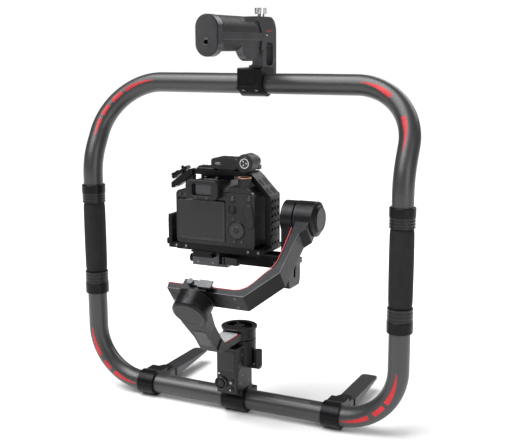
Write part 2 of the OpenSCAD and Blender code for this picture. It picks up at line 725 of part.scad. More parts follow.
// Cage: floor plate, right post with rows of tapped holes, left lug, sloping shoulder and top rail
module cage_frame() color([0.14, 0.14, 0.15]) difference() {
  union() {
    along_y(-42, 26) polygon([[cage_x[0], 256], [cage_x[0] + 8, 252], [57, 252], [cage_x[1] + 3, 256],
      [cage_x[1] + 3, camera_z - 0.1], [cage_x[0], camera_z - 0.1]]);
    along_y(-20, 12) polygon([[56, 255], [65, 255], [65, 334], [40, 360], [33, 366], [24, 366], [24, 359],
      [29, 359], [56, 334]]);
    box([-62, 30], [-16, 8], [359, 366]);
    box([-50, 4], [-12, 4], [353.1, 360]);
    along_y(-20, -2) polygon([[-60, 359], [-60, 366], [-66, 366], [-96, 345], [-96, 337], [-92, 337]]);
    box([-91, -84], [-38, -12], [252, 301]);
    box([-91, -78], [-38, -12], [252, 256]);
  }
  for (y = [-14, -4, 6]) hole_row([50, 70], y, 266, 326, 7);
  for (i = [0 : 6]) translate([-52 + 12 * i, -4, 0]) rod_z(350, 370, 2.6);
}
module camera_body() color([0.12, 0.12, 0.13]) {
  difference() {
    union() {
      along_y(-40, 24) translate([-13, camera_z + 39]) round2d(126, 78, 7);
      // hand grip
      along_z(camera_z + 1, 330) translate([33, 30]) round2d(34, 46, 12);
      // viewfinder hump
      along_y(-40, 24) polygon([[-60, 335], [-50, 353], [-8, 353], [4, 335]]);
    }
    // screen recess and the lens mount's throat
    box([-73, 4], [-41, -36.4], [267, 327.5]);
    translate([lens_x, 0, axes_z]) rod_y(10, 30, 27);
  }
  translate([lens_x, 0, axes_z]) along_y(24, 28) ring2d(33, 27);
  // raised deck under the mode dial, and the dial
  along_y(-38.6, 20) polygon([[6, 337], [9, 347], [38, 347], [46, 337]]);
  translate([30, -29.5, 346]) rod_z(0, 14.5, 9);
}
module camera_screen() color([0.1, 0.1, 0.11]) {
  along_y(-40.8, -36.6) translate([-34.5, 296]) round2d(76, 57, 2);
  translate([0, -39, 325]) rod_x(-60, -9, 1.4);
}
module camera_eyecup() color([0.08, 0.08, 0.09]) difference() {
  along_y(-52, -40) translate([-28, 341.5]) round2d(46, 24, 7);
  along_y(-53, -44) translate([-28, 341.5]) round2d(32, 14, 3);
}
// Barrel: a stepped lathe along +Y
module lens_barrel() color([0.13, 0.13, 0.14]) translate([lens_x, 28, axes_z]) rotate([-90, 0, 0])
  lathe([[20, 0], [32, 0], [34, 3], [34, 18], [33, 19], [33, 50], [34, 51], [34, 66], [36, 70], [36, 78],
    [33, 78], [28, 66], [20, 60]]);
module focus_ring() color([0.2, 0.2, 0.21]) translate([lens_x, 48, axes_z]) rotate([-90, 0, 0])
  difference() {
    knurled(36.5, 28, 48, 0.9);
    rod_z(-1, 30, 33 + e);
  }
module focus_motor() color([0.18, 0.18, 0.19]) {
  along_y(-16, 16) translate([-10, 376]) round2d(42, 15, 4);
  box([-22, 4], [-12, 4], [366, 370]);
  box([8, 36], [3, 12], [368, 374]);
  translate([26, 0, 379]) rod_y(0, 12, 9);
  translate([26, 0, 379]) rod_y(-18, 0.5, 3 - e);
}
module focus_gear() color([0.3, 0.3, 0.31]) translate([26, -0.5, 379]) rotate([90, 0, 0]) difference() {
  knurled(13, 22, 40, 0.7);
  rod_z(-1, 17.5, 3);
  rod_z(19, 24, 6);
}

lower_tube();
upper_tube();
grip_tubes();
foam_grip_left();
foam_grip_right();
grip_end_rings();
coupling_collars();
clamp_lower_halves();
center_clamp_upper();
foot_clamp_uppers();
top_clamp_upper();
clamp_screws();
pivot_pins();
foot_left();
foot_right();
handle_bracket();
handle_core();
handle_pads();
handle_end_cap();
thumb_screw();
base_shell_rear();
base_shell_front();
base_screen();
control_board();
joystick();
mode_button();
record_button();
trigger();
side_dial();
pan_motor_housing();
pan_motor_core();
pan_rotor();
pan_arm();
pan_arm_plate();
roll_motor_housing();
roll_motor_cap();
roll_motor_core();
roll_rotor();
roll_saddle();
roll_lock();
roll_arm();
tilt_motor_housing();
tilt_motor_cap();
tilt_motor_core();
tilt_rotor();
tilt_arm();
camera_arm();
arm_lock();
qr_base();
qr_lever();
qr_knob();
camera_plate();
cage_frame();
camera_body();
camera_screen();
camera_eyecup();
lens_barrel();
focus_ring();
focus_motor();
focus_gear();
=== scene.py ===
"""Looks of the ring-grip gimbal stabilizer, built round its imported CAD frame. Lengths are in millimetres until
a mesh is made; +X right, +Y forward, +Z up."""
import json
import math
import random

import bpy
from mathutils import Matrix, Vector


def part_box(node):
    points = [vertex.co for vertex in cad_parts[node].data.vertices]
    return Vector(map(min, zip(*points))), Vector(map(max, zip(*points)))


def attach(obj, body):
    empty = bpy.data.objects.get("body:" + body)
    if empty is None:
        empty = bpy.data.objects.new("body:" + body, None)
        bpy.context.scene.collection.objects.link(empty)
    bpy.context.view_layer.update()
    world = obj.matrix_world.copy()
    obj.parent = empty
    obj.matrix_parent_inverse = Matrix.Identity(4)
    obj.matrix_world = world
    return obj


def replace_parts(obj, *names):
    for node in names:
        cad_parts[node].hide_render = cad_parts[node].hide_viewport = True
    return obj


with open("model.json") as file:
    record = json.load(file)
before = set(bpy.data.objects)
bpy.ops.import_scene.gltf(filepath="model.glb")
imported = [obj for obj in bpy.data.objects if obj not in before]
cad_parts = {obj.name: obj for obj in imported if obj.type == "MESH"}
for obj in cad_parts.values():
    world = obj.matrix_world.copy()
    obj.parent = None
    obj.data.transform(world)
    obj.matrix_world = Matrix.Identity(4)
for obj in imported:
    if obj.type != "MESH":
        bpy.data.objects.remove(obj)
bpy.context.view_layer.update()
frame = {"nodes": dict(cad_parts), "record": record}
NODES = frame["nodes"]
MM = 0.001
random.seed(7)


def span(node):
    """Lowest and highest corner of a CAD node in millimetres."""
    lo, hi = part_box(node)
    return lo / MM, hi / MM


# ---------------------------------------------------------------- materials
class Shader:
    """One Principled material and short calls that add nodes to it."""

    def __init__(self, name, colour, rough, metal=0.0, **sockets):
        self.material = bpy.data.materials.new(name)
        self.material.use_nodes = True
        self.tree = self.material.node_tree
        self.surface = self.tree.nodes["Principled BSDF"]
        self.colour, self.rough = colour, rough
        self.put("Base Color", (*colour, 1))
        self.put("Roughness", rough)
        self.put("Metallic", metal)
        for socket, value in sockets.items():
            self.put(socket.replace("_", " "), value)
        self.place = self.add("ShaderNodeTexCoord").outputs["Object"]

    def put(self, socket, value):
        self.surface.inputs[socket].default_value = value

    def add(self, kind, **values):
        node = self.tree.nodes.new(kind)
        for key, value in values.items():
            setattr(node, key, value)
        return node

    def join(self, out, socket):
        self.tree.links.new(out, socket)

    def noise(self, scale, detail=3.0, stretch=(1, 1, 1)):
        mapping = self.add("ShaderNodeMapping")
        mapping.inputs["Scale"].default_value = stretch
        self.join(self.place, mapping.inputs["Vector"])
        node = self.add("ShaderNodeTexNoise")
        node.inputs["Scale"].default_value = scale
        node.inputs["Detail"].default_value = detail
        self.join(mapping.outputs["Vector"], node.inputs["Vector"])
        return node.outputs["Fac"]

    def cells(self, scale):
        node = self.add("ShaderNodeTexVoronoi", feature="DISTANCE_TO_EDGE")
        node.inputs["Scale"].default_value = scale
        self.join(self.place, node.inputs["Vector"])
        return self.remap(node.outputs["Distance"], 0.0, 0.25, 0.0, 1.0)

    def remap(self, out, a, b, low, high):
        node = self.add("ShaderNodeMapRange")
        for i, value in enumerate((a, b, low, high)):
            node.inputs[i + 1].default_value = value
        self.join(out, node.inputs[0])
        return node.outputs["Result"]

    def math(self, operation, a, b=None):
        node = self.add("ShaderNodeMath", operation=operation)
        for i, value in enumerate((a, b)):
            if value is None:
                continue
            if isinstance(value, (int, float)):
                node.inputs[i].default_value = value
            else:
                self.join(value, node.inputs[i])
        return node.outputs["Value"]

    def mix(self, fac, low, high, socket="Base Color"):
        node = self.add("ShaderNodeMix", data_type="RGBA")
        node.inputs["A"].default_value = (*low, 1)
        node.inputs["B"].default_value = (*high, 1)
        self.join(fac, node.inputs["Factor"])
        self.join(node.outputs["Result"], self.surface.inputs[socket])

    def bump(self, height, strength, depth):
        node = self.add("ShaderNodeBump")
        node.inputs["Strength"].default_value = strength
        node.inputs["Distance"].default_value = depth * MM
        self.join(height, node.inputs["Height"])
        self.join(node.outputs["Normal"], self.surface.inputs["Normal"])

    def vary(self, scale=35, spread=0.25, rough_spread=0.07):
        """Slow change of colour and gloss over the surface."""
        slow = self.noise(scale, 4.0)
        low = [c * (1 - spread) for c in self.colour]
        high = [min(1, c * (1 + spread)) for c in self.colour]
        self.mix(self.remap(slow, 0.3, 0.7, 0, 1), low, high)
        rough = self.remap(self.noise(scale * 6), 0.3, 0.7, self.rough - rough_spread, self.rough + rough_spread)
        self.join(rough, self.surface.inputs["Roughness"])
        return self


def plastic(name, colour, rough, grain=1600, strength=0.25):
    """Moulded plastic with a fine spark-eroded grain."""
    s = Shader(name, colour, rough, IOR=1.47, Specular_IOR_Level=0.36).vary()
    s.bump(s.noise(grain, 2.0), strength, 0.08)
    return s.material


def metal(name, colour, rough, grain=2600, strength=0.12, amount=0.75):
    """Bead-blasted, anodised aluminium."""
    s = Shader(name, colour, rough, metal=amount, Specular_IOR_Level=0.36).vary(28, 0.14, 0.05)
    s.bump(s.noise(grain, 2.0), strength, 0.05)
    return s.material


def foam_skin():
    s = Shader("foam_skin", (0.007, 0.007, 0.0075), 0.75, Specular_IOR_Level=0.3).vary(60, 0.3, 0.06)
    s.bump(s.cells(900), 0.3, 0.1)
    return s.material


def leather_grain():
    s = Shader("grip_leather", (0.009, 0.009, 0.0095), 0.5, Specular_IOR_Level=0.36).vary(50, 0.3, 0.08)
    s.bump(s.cells(700), 0.6, 0.18)
    return s.material


def brushed(name, colour, rough, stretch=(1, 1, 40)):
    s = Shader(name, colour, rough, metal=1.0).vary(40, 0.08, 0.05)
    s.bump(s.noise(500, 2.0, stretch), 0.12, 0.04)
    return s.material


def woven_carbon():
    """Plain weave: the UV map counts yarns, so each unit square is one crossing."""
    s = Shader("woven_carbon", (0.02, 0.02, 0.021), 0.4, Coat_Weight=0.3, Coat_Roughness=0.25)
    split = s.add("ShaderNodeSeparateXYZ")
    s.join(s.add("ShaderNodeTexCoord").outputs["UV"], split.inputs["Vector"])
    u, v = split.outputs["X"], split.outputs["Y"]
    over = s.math("FLOORED_MODULO", s.math("ADD", s.math("FLOOR", u), s.math("FLOOR", v)), 2.0)
    ridge = [s.math("SINE", s.math("MULTIPLY", s.math("FRACT", c), math.pi)) for c in (u, v)]
    pick = s.add("ShaderNodeMix", data_type="FLOAT")
    s.join(over, pick.inputs["Factor"])
    s.join(ridge[0], pick.inputs["A"])
    s.join(ridge[1], pick.inputs["B"])
    # colour: checker of over and under yarns, the weave's pattern, plus each yarn lighter towards its crown, a
    # painted sheen
    shade = s.math("ADD", s.math("MULTIPLY", over, 0.65), s.math("MULTIPLY", pick.outputs["Result"], 0.35))
    s.mix(shade, (0.005, 0.005, 0.0055), (0.036, 0.036, 0.038))
    s.join(s.remap(shade, 0, 1, 0.48, 0.36), s.surface.inputs["Roughness"])
    s.bump(pick.outputs["Result"], 0.22, 0.1)
    return s.material


def glass(name, colour, rough, coat=0.6):
    s = Shader(name, colour, rough, IOR=1.4, Coat_Weight=coat, Coat_Roughness=0.03).vary(20, 0.1, 0.02)
    s.bump(s.noise(90, 1.0), 0.03, 0.02)
    return s.material


MATERIAL = {
    "carbon": woven_carbon(),
    "dark_aluminium": metal("dark_anodised", (0.02, 0.02, 0.0215), 0.38),
    "foam": foam_skin(),
    "black_plastic": plastic("black_plastic", (0.008, 0.008, 0.0085), 0.34),
    "black_aluminium": metal("black_anodised", (0.010, 0.010, 0.011), 0.36),
    "grey_aluminium": metal("grey_anodised", (0.075, 0.076, 0.08), 0.36),
    "motor_grey": metal("graphite_anodised", (0.015, 0.0153, 0.0165), 0.36),
    "light_grey": metal("light_satin", (0.6, 0.61, 0.62), 0.3, 2600, 0.04, 0.35),
    "steel": brushed("blackened_steel", (0.18, 0.18, 0.19), 0.35),
    "bright_metal": brushed("polished_metal", (0.8, 0.8, 0.82), 0.14),
    "rubber": plastic("moulded_rubber", (0.009, 0.009, 0.0095), 0.55, 900, 0.3),
    "screen": glass("screen_glass", (0.005, 0.005, 0.006), 0.2, 0.2),
    "board": plastic("solder_mask", (0.02, 0.16, 0.06), 0.4),
    "copper": brushed("wound_copper", (0.62, 0.29, 0.12), 0.3),
}
LEATHER = leather_grain()
RED = plastic("red_print", (0.44, 0.016, 0.022), 0.38, 1400, 0.1)
DARK_RED = plastic("red_trim", (0.33, 0.012, 0.018), 0.35, 1400, 0.1)
DECAL = plastic("grey_print", (0.07, 0.07, 0.073), 0.42, 1400, 0.1)
# near-black: printed ticks, and painted shade on thin plates that stand in for slots, notches and holes
PRINT_AND_SLOT_SHADE = plastic("dark_print_and_slot_shade", (0.008, 0.008, 0.008), 0.6, 1400, 0.1)
WHITE = plastic("white_print", (0.7, 0.7, 0.7), 0.45, 1400, 0.1)
BEZEL = plastic("screen_bezel", (0.02, 0.02, 0.021), 0.28, 2000, 0.08)
LCD = glass("lcd_panel", (0.009, 0.0095, 0.010), 0.3, 0.05)
LENS_GLASS = glass("coated_glass", (0.008, 0.006, 0.014), 0.08)
LAMP = Shader("status_lamp", (0.8, 0.85, 0.9), 0.3, Emission_Color=(0.8, 0.9, 1, 1),
              Emission_Strength=0.6).vary().material


# ---------------------------------------------------------------- mesh helpers
def build(name, points, faces, body, slot, material=None, bevel=0.0, sharp=32, uvs=None):
    """A mesh piece from points in millimetres, riding on body."""
    mesh = bpy.data.meshes.new(name)
    mesh.from_pydata([Vector(p) * MM for p in points], [], faces)
    mesh.validate()
    if uvs:
        layer = mesh.uv_layers.new(name="weave")
        for loop, uv in zip(layer.data, uvs):
            loop.uv = uv
    mesh.shade_smooth()
    mesh.set_sharp_from_angle(angle=math.radians(sharp))
    mesh.materials.append(material or MATERIAL[slot])
    piece = bpy.data.objects.new(name, mesh)
    bpy.context.scene.collection.objects.link(piece)
    if bevel:
        edge_bevel(piece, bevel, sharp)
    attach(piece, body)
    return piece


def edge_bevel(piece, width, sharp=32, clamp=True):
    m = piece.modifiers.new("edge", "BEVEL")
    m.width, m.segments, m.limit_method = width * MM, 2, "ANGLE"
    m.angle_limit, m.use_clamp_overlap = math.radians(sharp), clamp
    m = piece.modifiers.new("shade", "WEIGHTED_NORMAL")
    m.keep_sharp = True


class Parts:
    """Several closed shells gathered in one mesh."""

    def __init__(self):
        self.points, self.faces = [], []

    def add(self, points, faces, place=None):
        base = len(self.points)
        self.points += [place @ Vector(p) if place else Vector(p) for p in points]
        self.faces += [tuple(base + i for i in f) for f in faces]
        return self

    def build(self, name, body, slot, material=None, bevel=0.0, sharp=32):
        return build(name, self.points, self.faces, body, slot, material, bevel, sharp)


def prism(outline, z0, z1):
    """Points and faces of a flat outline pushed from z0 to z1."""
    n = len(outline)
    points = [(x, y, z) for z in (z0, z1) for x, y in outline]
    sides = [(i, (i + 1) % n, n + (i + 1) % n, n + i) for i in range(n)]
    return points, [tuple(range(n - 1, -1, -1)), tuple(range(n, 2 * n))] + sides


def lathe(profile, steps=40):
    """Points and faces of a closed (radius, height) profile turned about Z. A radius of 0 makes a pole."""
    points, rows = [], []
    for r, z in profile:
        if r < 1e-6:
            rows.append([len(points)] * steps)
            points.append((0, 0, z))
        else:
            rows.append(list(range(len(points), len(points) + steps)))
            points += [(r * math.cos(2 * math.pi * k / steps), r * math.sin(2 * math.pi * k / steps), z)
                       for k in range(steps)]
    closed = profile[0][0] > 1e-6
    pairs = list(zip(rows, rows[1:])) + ([(rows[-1], rows[0])] if closed else [])
    faces = []
    for a, b in pairs:
        for k in range(steps):
            j = (k + 1) % steps
            face = list(dict.fromkeys((a[k], a[j], b[j], b[k])))
            if len(face) > 2:
                faces.append(tuple(face))
    return points, faces


def rounded(w, h, r, x=0.0, y=0.0, steps=5):
    """Rectangle outline with round corners, centred at x, y."""
    out = []
    for cx, cy, start in ((1, 1, 0), (-1, 1, 90), (-1, -1, 180), (1, -1, 270)):
        for k in range(steps + 1):
            a = math.radians(start + 90 * k / steps)
            out.append((x + cx * (w / 2 - r) + r * math.cos(a), y + cy * (h / 2 - r) + r * math.sin(a)))
    return out


def rim_plate(outer, inner, low, high):
    """Flat ring between two outlines that have the same number of points."""
    n = len(outer)
    points = [(a, b, c) for c in (low, high) for outline in (outer, inner) for a, b in outline]
    faces = []
    for k in range(n):
        j = (k + 1) % n
        faces += [(j, k, n + k, n + j), (2 * n + k, 2 * n + j, 3 * n + j, 3 * n + k),
                  (k, j, 2 * n + j, 2 * n + k), (n + j, n + k, 3 * n + k, 3 * n + j)]
    return points, faces


def disc(r, steps=32, x=0.0, y=0.0):
    return [(x + r * math.cos(2 * math.pi * k / steps), y + r * math.sin(2 * math.pi * k / steps))
            for k in range(steps)]


def knurl(r, depth, teeth):
    """Outline of a wheel with rounded teeth."""
    return [(rr * math.cos(a), rr * math.sin(a)) for k in range(teeth * 4)
            for a in [2 * math.pi * k / (teeth * 4)]
            for rr in [r - depth * (0.5 - 0.5 * math.cos(a * teeth))]]


def frame_at(origin, x, y, z):
    """Matrix whose columns are the local axes."""
    return Matrix([(x[i], y[i], z[i], origin[i]) for i in range(3)] + [(0, 0, 0, 1)])


def rear(x=0.0, y=0.0, z=0.0):
    """Local Z comes out towards the operator, -Y."""
    return frame_at((x, y, z), (1, 0, 0), (0, 0, 1), (0, -1, 0))


def ahead(x=0.0, y=0.0, z=0.0):
    return frame_at((x, y, z), (-1, 0, 0), (0, 0, 1), (0, 1, 0))


def right(x=0.0, y=0.0, z=0.0):
    return frame_at((x, y, z), (0, 1, 0), (0, 0, 1), (1, 0, 0))


def left(x=0.0, y=0.0, z=0.0):
    return frame_at((x, y, z), (0, -1, 0), (0, 0, 1), (-1, 0, 0))


def up(x=0.0, y=0.0, z=0.0):
    return Matrix.Translation((x, y, z))


def screw_head(parts, place, r, h=1.2):
    """Low cylinder head with a hexagonal socket, standing h proud of its seat."""
    n = 24
    hexagon = [(0.52 * r * math.cos(math.pi * k / 3), 0.52 * r * math.sin(math.pi * k / 3)) for k in range(6)]
    rim = 0.18 * r
    rings = [[(r * math.cos(a), r * math.sin(a), z) for a in [2 * math.pi * k / n for k in range(n)]]
             for r, z in ((r, -0.4), (r, h - rim), (r - rim, h))]
    points = [p for ring in rings for p in ring] + [(x, y, z) for z in (h, h * 0.35) for x, y in hexagon]
    faces = [tuple(range(n - 1, -1, -1))]
    for j in range(2):
        faces += [(j * n + k, j * n + (k + 1) % n, (j + 1) * n + (k + 1) % n, (j + 1) * n + k) for k in range(n)]
    top, hexa, low = 2 * n, 3 * n, 3 * n + 6
    for s in range(6):
        faces.append(tuple([top + (4 * s + k) % n for k in range(5)] + [hexa + (s + 1) % 6, hexa + s]))
        faces.append((hexa + s, hexa + (s + 1) % 6, low + (s + 1) % 6, low + s))
    faces.append(tuple(low + s for s in range(6)))
    parts.add(points, faces, place)


def ribbon(name, path, width, height, up_of, body, slot, material):
    """Thin raised strip along a polyline; up_of gives the outward normal."""
    points, faces = [], []
    normal = Vector(up_of)
    for i, p in enumerate(path):
        before, after = Vector(path[max(i - 1, 0)]), Vector(path[min(i + 1, len(path) - 1)])
        side = (after - before).normalized().cross(normal).normalized() * width / 2
        points += [Vector(p) + side - normal * 0.3, Vector(p) + side + normal * height,
                   Vector(p) - side + normal * height, Vector(p) - side - normal * 0.3]
    for i in range(len(path) - 1):
        a, b = 4 * i, 4 * i + 4
        faces += [(a + k, a + (k + 1) % 4, b + (k + 1) % 4, b + k) for k in range(4)]
    faces += [(3, 2, 1, 0), tuple(len(points) - 4 + k for k in range(4))]
    return build(name, points, faces, body, slot, material)


# ---------------------------------------------------------------- ring tubes
lower_lo, lower_hi = span("lower_tube")
upper_lo = span("upper_tube")[0]
TUBE_R = lower_hi.y
BORE_R = TUBE_R - 2
SIDE_X = lower_hi.x - TUBE_R
TUBE_Z = lower_lo.z + TUBE_R
LOW_BEND, TOP_BEND = 82, 90
LEAN, LEAN_R, LEAN_Z, LEAN_RUN = math.radians(28.9), 99, 344, 18.5
YARNS = 46                                   # yarns round the tube, each about 2 mm wide
STEP = 2.0                                   # spacing of a path's samples


def run_line(start, end):
    start, end = Vector(start), Vector(end)
    n = max(1, round((end - start).length / STEP))
    return [start.lerp(end, k / n) for k in range(n)]


def run_arc(centre, a, b, turn, r):
    """Points of an arc about centre from direction a towards direction b."""
    n = max(2, round(turn * r / STEP))
    centre, a, b = Vector(centre), Vector(a), Vector(b)
    return [centre + r * (math.cos(turn * k / n) * a + math.sin(turn * k / n) * b) for k in range(n)]


def lower_path():
    x, z = SIDE_X - LOW_BEND, TUBE_Z + LOW_BEND
    path = run_line((-SIDE_X, 0, lower_hi.z), (-SIDE_X, 0, z))
    path += run_arc((-x, 0, z), (-1, 0, 0), (0, 0, -1), math.pi / 2, LOW_BEND)
    path += run_line((-x, 0, TUBE_Z), (x, 0, TUBE_Z))
    path += run_arc((x, 0, z), (0, 0, -1), (1, 0, 0), math.pi / 2, LOW_BEND)
    return path + run_line((SIDE_X, 0, z), (SIDE_X, 0, lower_hi.z)) + [Vector((SIDE_X, 0, lower_hi.z))]


LEAN_UP = Vector((0, math.sin(LEAN), math.cos(LEAN)))
LEAN_OUT = Vector((0, math.cos(LEAN), -math.sin(LEAN)))


def upper_path():
    start = Vector((0, LEAN_R * (1 - math.cos(LEAN)), LEAN_Z + LEAN_R * math.sin(LEAN)))
    centre = start + LEAN_UP * LEAN_RUN
    x = SIDE_X - TOP_BEND
    half = run_line((-SIDE_X, 0, upper_lo.z), (-SIDE_X, 0, LEAN_Z))
    half += run_arc((-SIDE_X, LEAN_R, LEAN_Z), (0, -1, 0), (0, 0, 1), LEAN, LEAN_R)
    side = Vector((-SIDE_X, 0, 0))
    half += run_line(side + start, side + centre)
    half += run_arc(Vector((-x, 0, 0)) + centre, (-1, 0, 0), LEAN_UP, math.pi / 2, TOP_BEND)
    half += run_line(Vector((-x, 0, 0)) + centre + LEAN_UP * TOP_BEND, centre + LEAN_UP * TOP_BEND)
    mirrored = [Vector((-p.x, p.y, p.z)) for p in reversed(half)]
    return half + [centre + LEAN_UP * TOP_BEND] + mirrored


class Sweep:
    """Round tube along sampled points, with the viewer's side carried along it."""

    def __init__(self, path):
        self.path = path
        self.tangent = [(path[min(i + 1, len(path) - 1)] - path[max(i - 1, 0)]).normalized()
                        for i in range(len(path))]
        self.back, self.side, self.along = [], [], [0.0]
        for i, t in enumerate(self.tangent):
            # towards the operator, square to the tube
            back = Vector((0, -1, 0)) if abs(t.y) < 1e-4 and path[i].z < LEAN_Z else -LEAN_OUT
            if abs(t.x) < 1e-4:
                back = Vector((0, -t.z, t.y)) * (1 if t.z >= 0 else -1)
            self.back.append(back)
            self.side.append(t.cross(back).normalized())
            if i:
                self.along.append(self.along[-1] + (path[i] - path[i - 1]).length)

    def ring(self, i, r, steps):
        return [self.path[i] + r * (math.cos(a) * self.back[i] + math.sin(a) * self.side[i])
                for a in (2 * math.pi * k / steps for k in range(steps))]

    def tube(self, name, node):
        steps, n = YARNS, len(self.path)
        points = [p for i in range(n) for p in self.ring(i, TUBE_R, steps)]
        points += [p for i in range(n) for p in self.ring(i, BORE_R, steps)]
        faces, uvs = [], []
        yarn = 2 * math.pi * TUBE_R / YARNS
        for i in range(n - 1):
            for k in range(steps):
                j = (k + 1) % steps
                faces.append((i * steps + k, i * steps + j, (i + 1) * steps + j, (i + 1) * steps + k))
                v0, v1 = self.along[i] / yarn, self.along[i + 1] / yarn
                uvs += [(k, v0), (k + 1, v0), (k + 1, v1), (k, v1)]
        base = n * steps
        for i in range(n - 1):
            for k in range(steps):
                j = (k + 1) % steps
                faces.append((base + i * steps + j, base + i * steps + k,
                              base + (i + 1) * steps + k, base + (i + 1) * steps + j))
                uvs += [(0, 0)] * 4
        for i in (0, n - 1):
            for k in range(steps):
                j = (k + 1) % steps
                ring = (i * steps + k, base + i * steps + k, base + i * steps + j, i * steps + j)
                faces.append(ring if i == 0 else tuple(reversed(ring)))
                uvs += [(0, 0)] * 4
        piece = build(name, points, faces, "ring", "carbon", sharp=50, uvs=uvs)
        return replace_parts(piece, node)

    def print_on(self, parts, start, end, width, turn=0.0, across=6, lift=0.12):
        """Printed patch on the tube between two lengths; width(t) in mm, turn is the angle from the viewer's side."""
        picked = [i for i, s in enumerate(self.along) if start <= s <= end]
        rows = []
        for i in picked:
            t = (self.along[i] - start) / (end - start)
            half = width(t) / TUBE_R / 2
            rows.append([(i, turn + half * (2 * k / across - 1)) for k in range(across + 1)])
        points = []
        for r in (TUBE_R + lift, TUBE_R - 0.3):
            points += [self.path[i] + r * (math.cos(a) * self.back[i] + math.sin(a) * self.side[i])
                       for row in rows for i, a in row]
        m, w = len(rows), across + 1
        low = m * w
        faces = []
        for i in range(m - 1):
            for k in range(across):
                q = (i * w + k, i * w + k + 1, (i + 1) * w + k + 1, (i + 1) * w + k)
                faces += [q, tuple(low + v for v in reversed(q))]
            for k in (0, across):
                q = (i * w + k, (i + 1) * w + k, low + (i + 1) * w + k, low + i * w + k)
                faces.append(q if k == 0 else tuple(reversed(q)))
        for i in (0, m - 1):
            for k in range(across):
                q = (i * w + k + 1, i * w + k, low + i * w + k, low + i * w + k + 1)
                faces.append(q if i == 0 else tuple(reversed(q)))
        parts.add(points, faces)


lower, upper = Sweep(lower_path()), Sweep(upper_path())
lower.tube("lower_ring_tube", "lower_tube")
upper.tube("upper_ring_tube", "upper_tube")


def dash(w0, w1):
    """Stripe width that runs from w0 to w1 and keeps the thick end full for a while."""
    if w1 > w0:
        return lambda t: w0 + (w1 - w0) * min(1, 1.3 * t)
    return lambda t: w0 + (w1 - w0) * max(0, 1.3 * t - 0.3)


def corner_stripes():
    """Red dashes that follow each bend on the operator's side."""
    parts = Parts()
    leg, low_arc = lower_hi.z - (TUBE_Z + LOW_BEND), LOW_BEND * math.pi / 2
    far = leg + low_arc + 2 * (SIDE_X - LOW_BEND)
    for start, turn, ends in ((leg, 0.07, (0, 0.39, 0.44, 0.58, 0.63, 0.97)),
                              (far, 0.12, (0, 0.37, 0.42, 0.58, 0.62, 1.0))):
        for k, widths in enumerate(((1.0, 7.0), (7.0, 7.0), (7.0, 1.0))):
            a, b = ends[2 * k:2 * k + 2]
            lower.print_on(parts, start + a * low_arc, start + b * low_arc, dash(*widths), turn)
    total = upper.along[-1]
    bend, arc = (LEAN_Z - upper_lo.z) + LEAN_R * LEAN + LEAN_RUN, TOP_BEND * math.pi / 2
    for a, b, w0, w1 in ((-0.083, 0.144, 1, 6), (0.178, 0.333, 6.5, 6.5), (0.367, 0.544, 6.5, 6.5),
                         (0.571, 0.95, 6.5, 1.2)):
        upper.print_on(parts, bend + a * arc, bend + b * arc, dash(w0, w1), 0.25)
    for a, b, w0, w1 in ((-0.09, 0.29, 7.5, 1.2), (0.54, 0.93, 1.2, 7.5)):
        upper.print_on(parts, total - bend - b * arc, total - bend - a * arc, dash(w0, w1), 0.14)
    parts.build("corner_stripes", "ring", "carbon", RED, sharp=50)


def scale_labels():
    """Faint grey strips with four dark ticks on the horizontal tubes."""
    pads, ticks = Parts(), Parts()
    for sweep, middle, turn in ((lower, lower.along[-1] / 2, -1.15), (upper, upper.along[-1] / 2, -1.3)):
        for side in (-1, 1):
            centre = middle + side * 92
            sweep.print_on(pads, centre - 30, centre + 30, lambda t: 5.0, turn)
            for k in range(4):
                s = centre - 9 + 6 * k
                sweep.print_on(ticks, s - 2.0, s + 2.0, lambda t: 1.6, turn, across=2, lift=0.2)
    pads.build("scale_labels", "ring", "carbon", DECAL, sharp=50)
    ticks.build("scale_ticks", "ring", "carbon", PRINT_AND_SLOT_SHADE, sharp=50)


def foam_sleeve(node, side):
    """Closed-cell foam, a little fuller in the middle, with rounded ends."""
    lo, hi = span(node)
    r, length = (hi.x - lo.x) / 2, hi.z - lo.z
    profile = [(BORE_R + 0.05, 0.2), (r - 1.2, 0.2)]
    for k in range(25):
        t = k / 24
        edge = min(1, t * 12, (1 - t) * 12)
        profile.append((r - 0.9 * (1 - math.sin(edge * math.pi / 2)) + 0.35 * math.sin(math.pi * t),
                        0.5 + t * (length - 1)))
    profile += [(r - 1.2, length - 0.2), (BORE_R + 0.05, length - 0.2)]
    parts = Parts()
    parts.add(*lathe(profile, 72), up((lo.x + hi.x) / 2, 0, lo.z))
    piece = parts.build("foam_sleeve_" + side, "ring", "foam", sharp=60)
    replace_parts(piece, node)


corner_stripes()
scale_labels()
foam_sleeve("foam_grip_left", "left")
foam_sleeve("foam_grip_right", "right")


def ring_hardware():
    """Flange and ribs on the back of the top clamp's lower half."""
    ribs = Parts()
    ribs.add(*prism(rounded(38, 4.4, 1.4), -0.4, 0.9), rear(0, 42.8, 480.8))
    for x in (-16, -3, 10):
        ribs.add(*prism(rounded(2.2, 12, 1.0), -0.4, 1.0), rear(x, 42.8, 490))
    ribs.build("top_clamp_ribs", "ring", "black_aluminium", bevel=0.3)


ring_hardware()


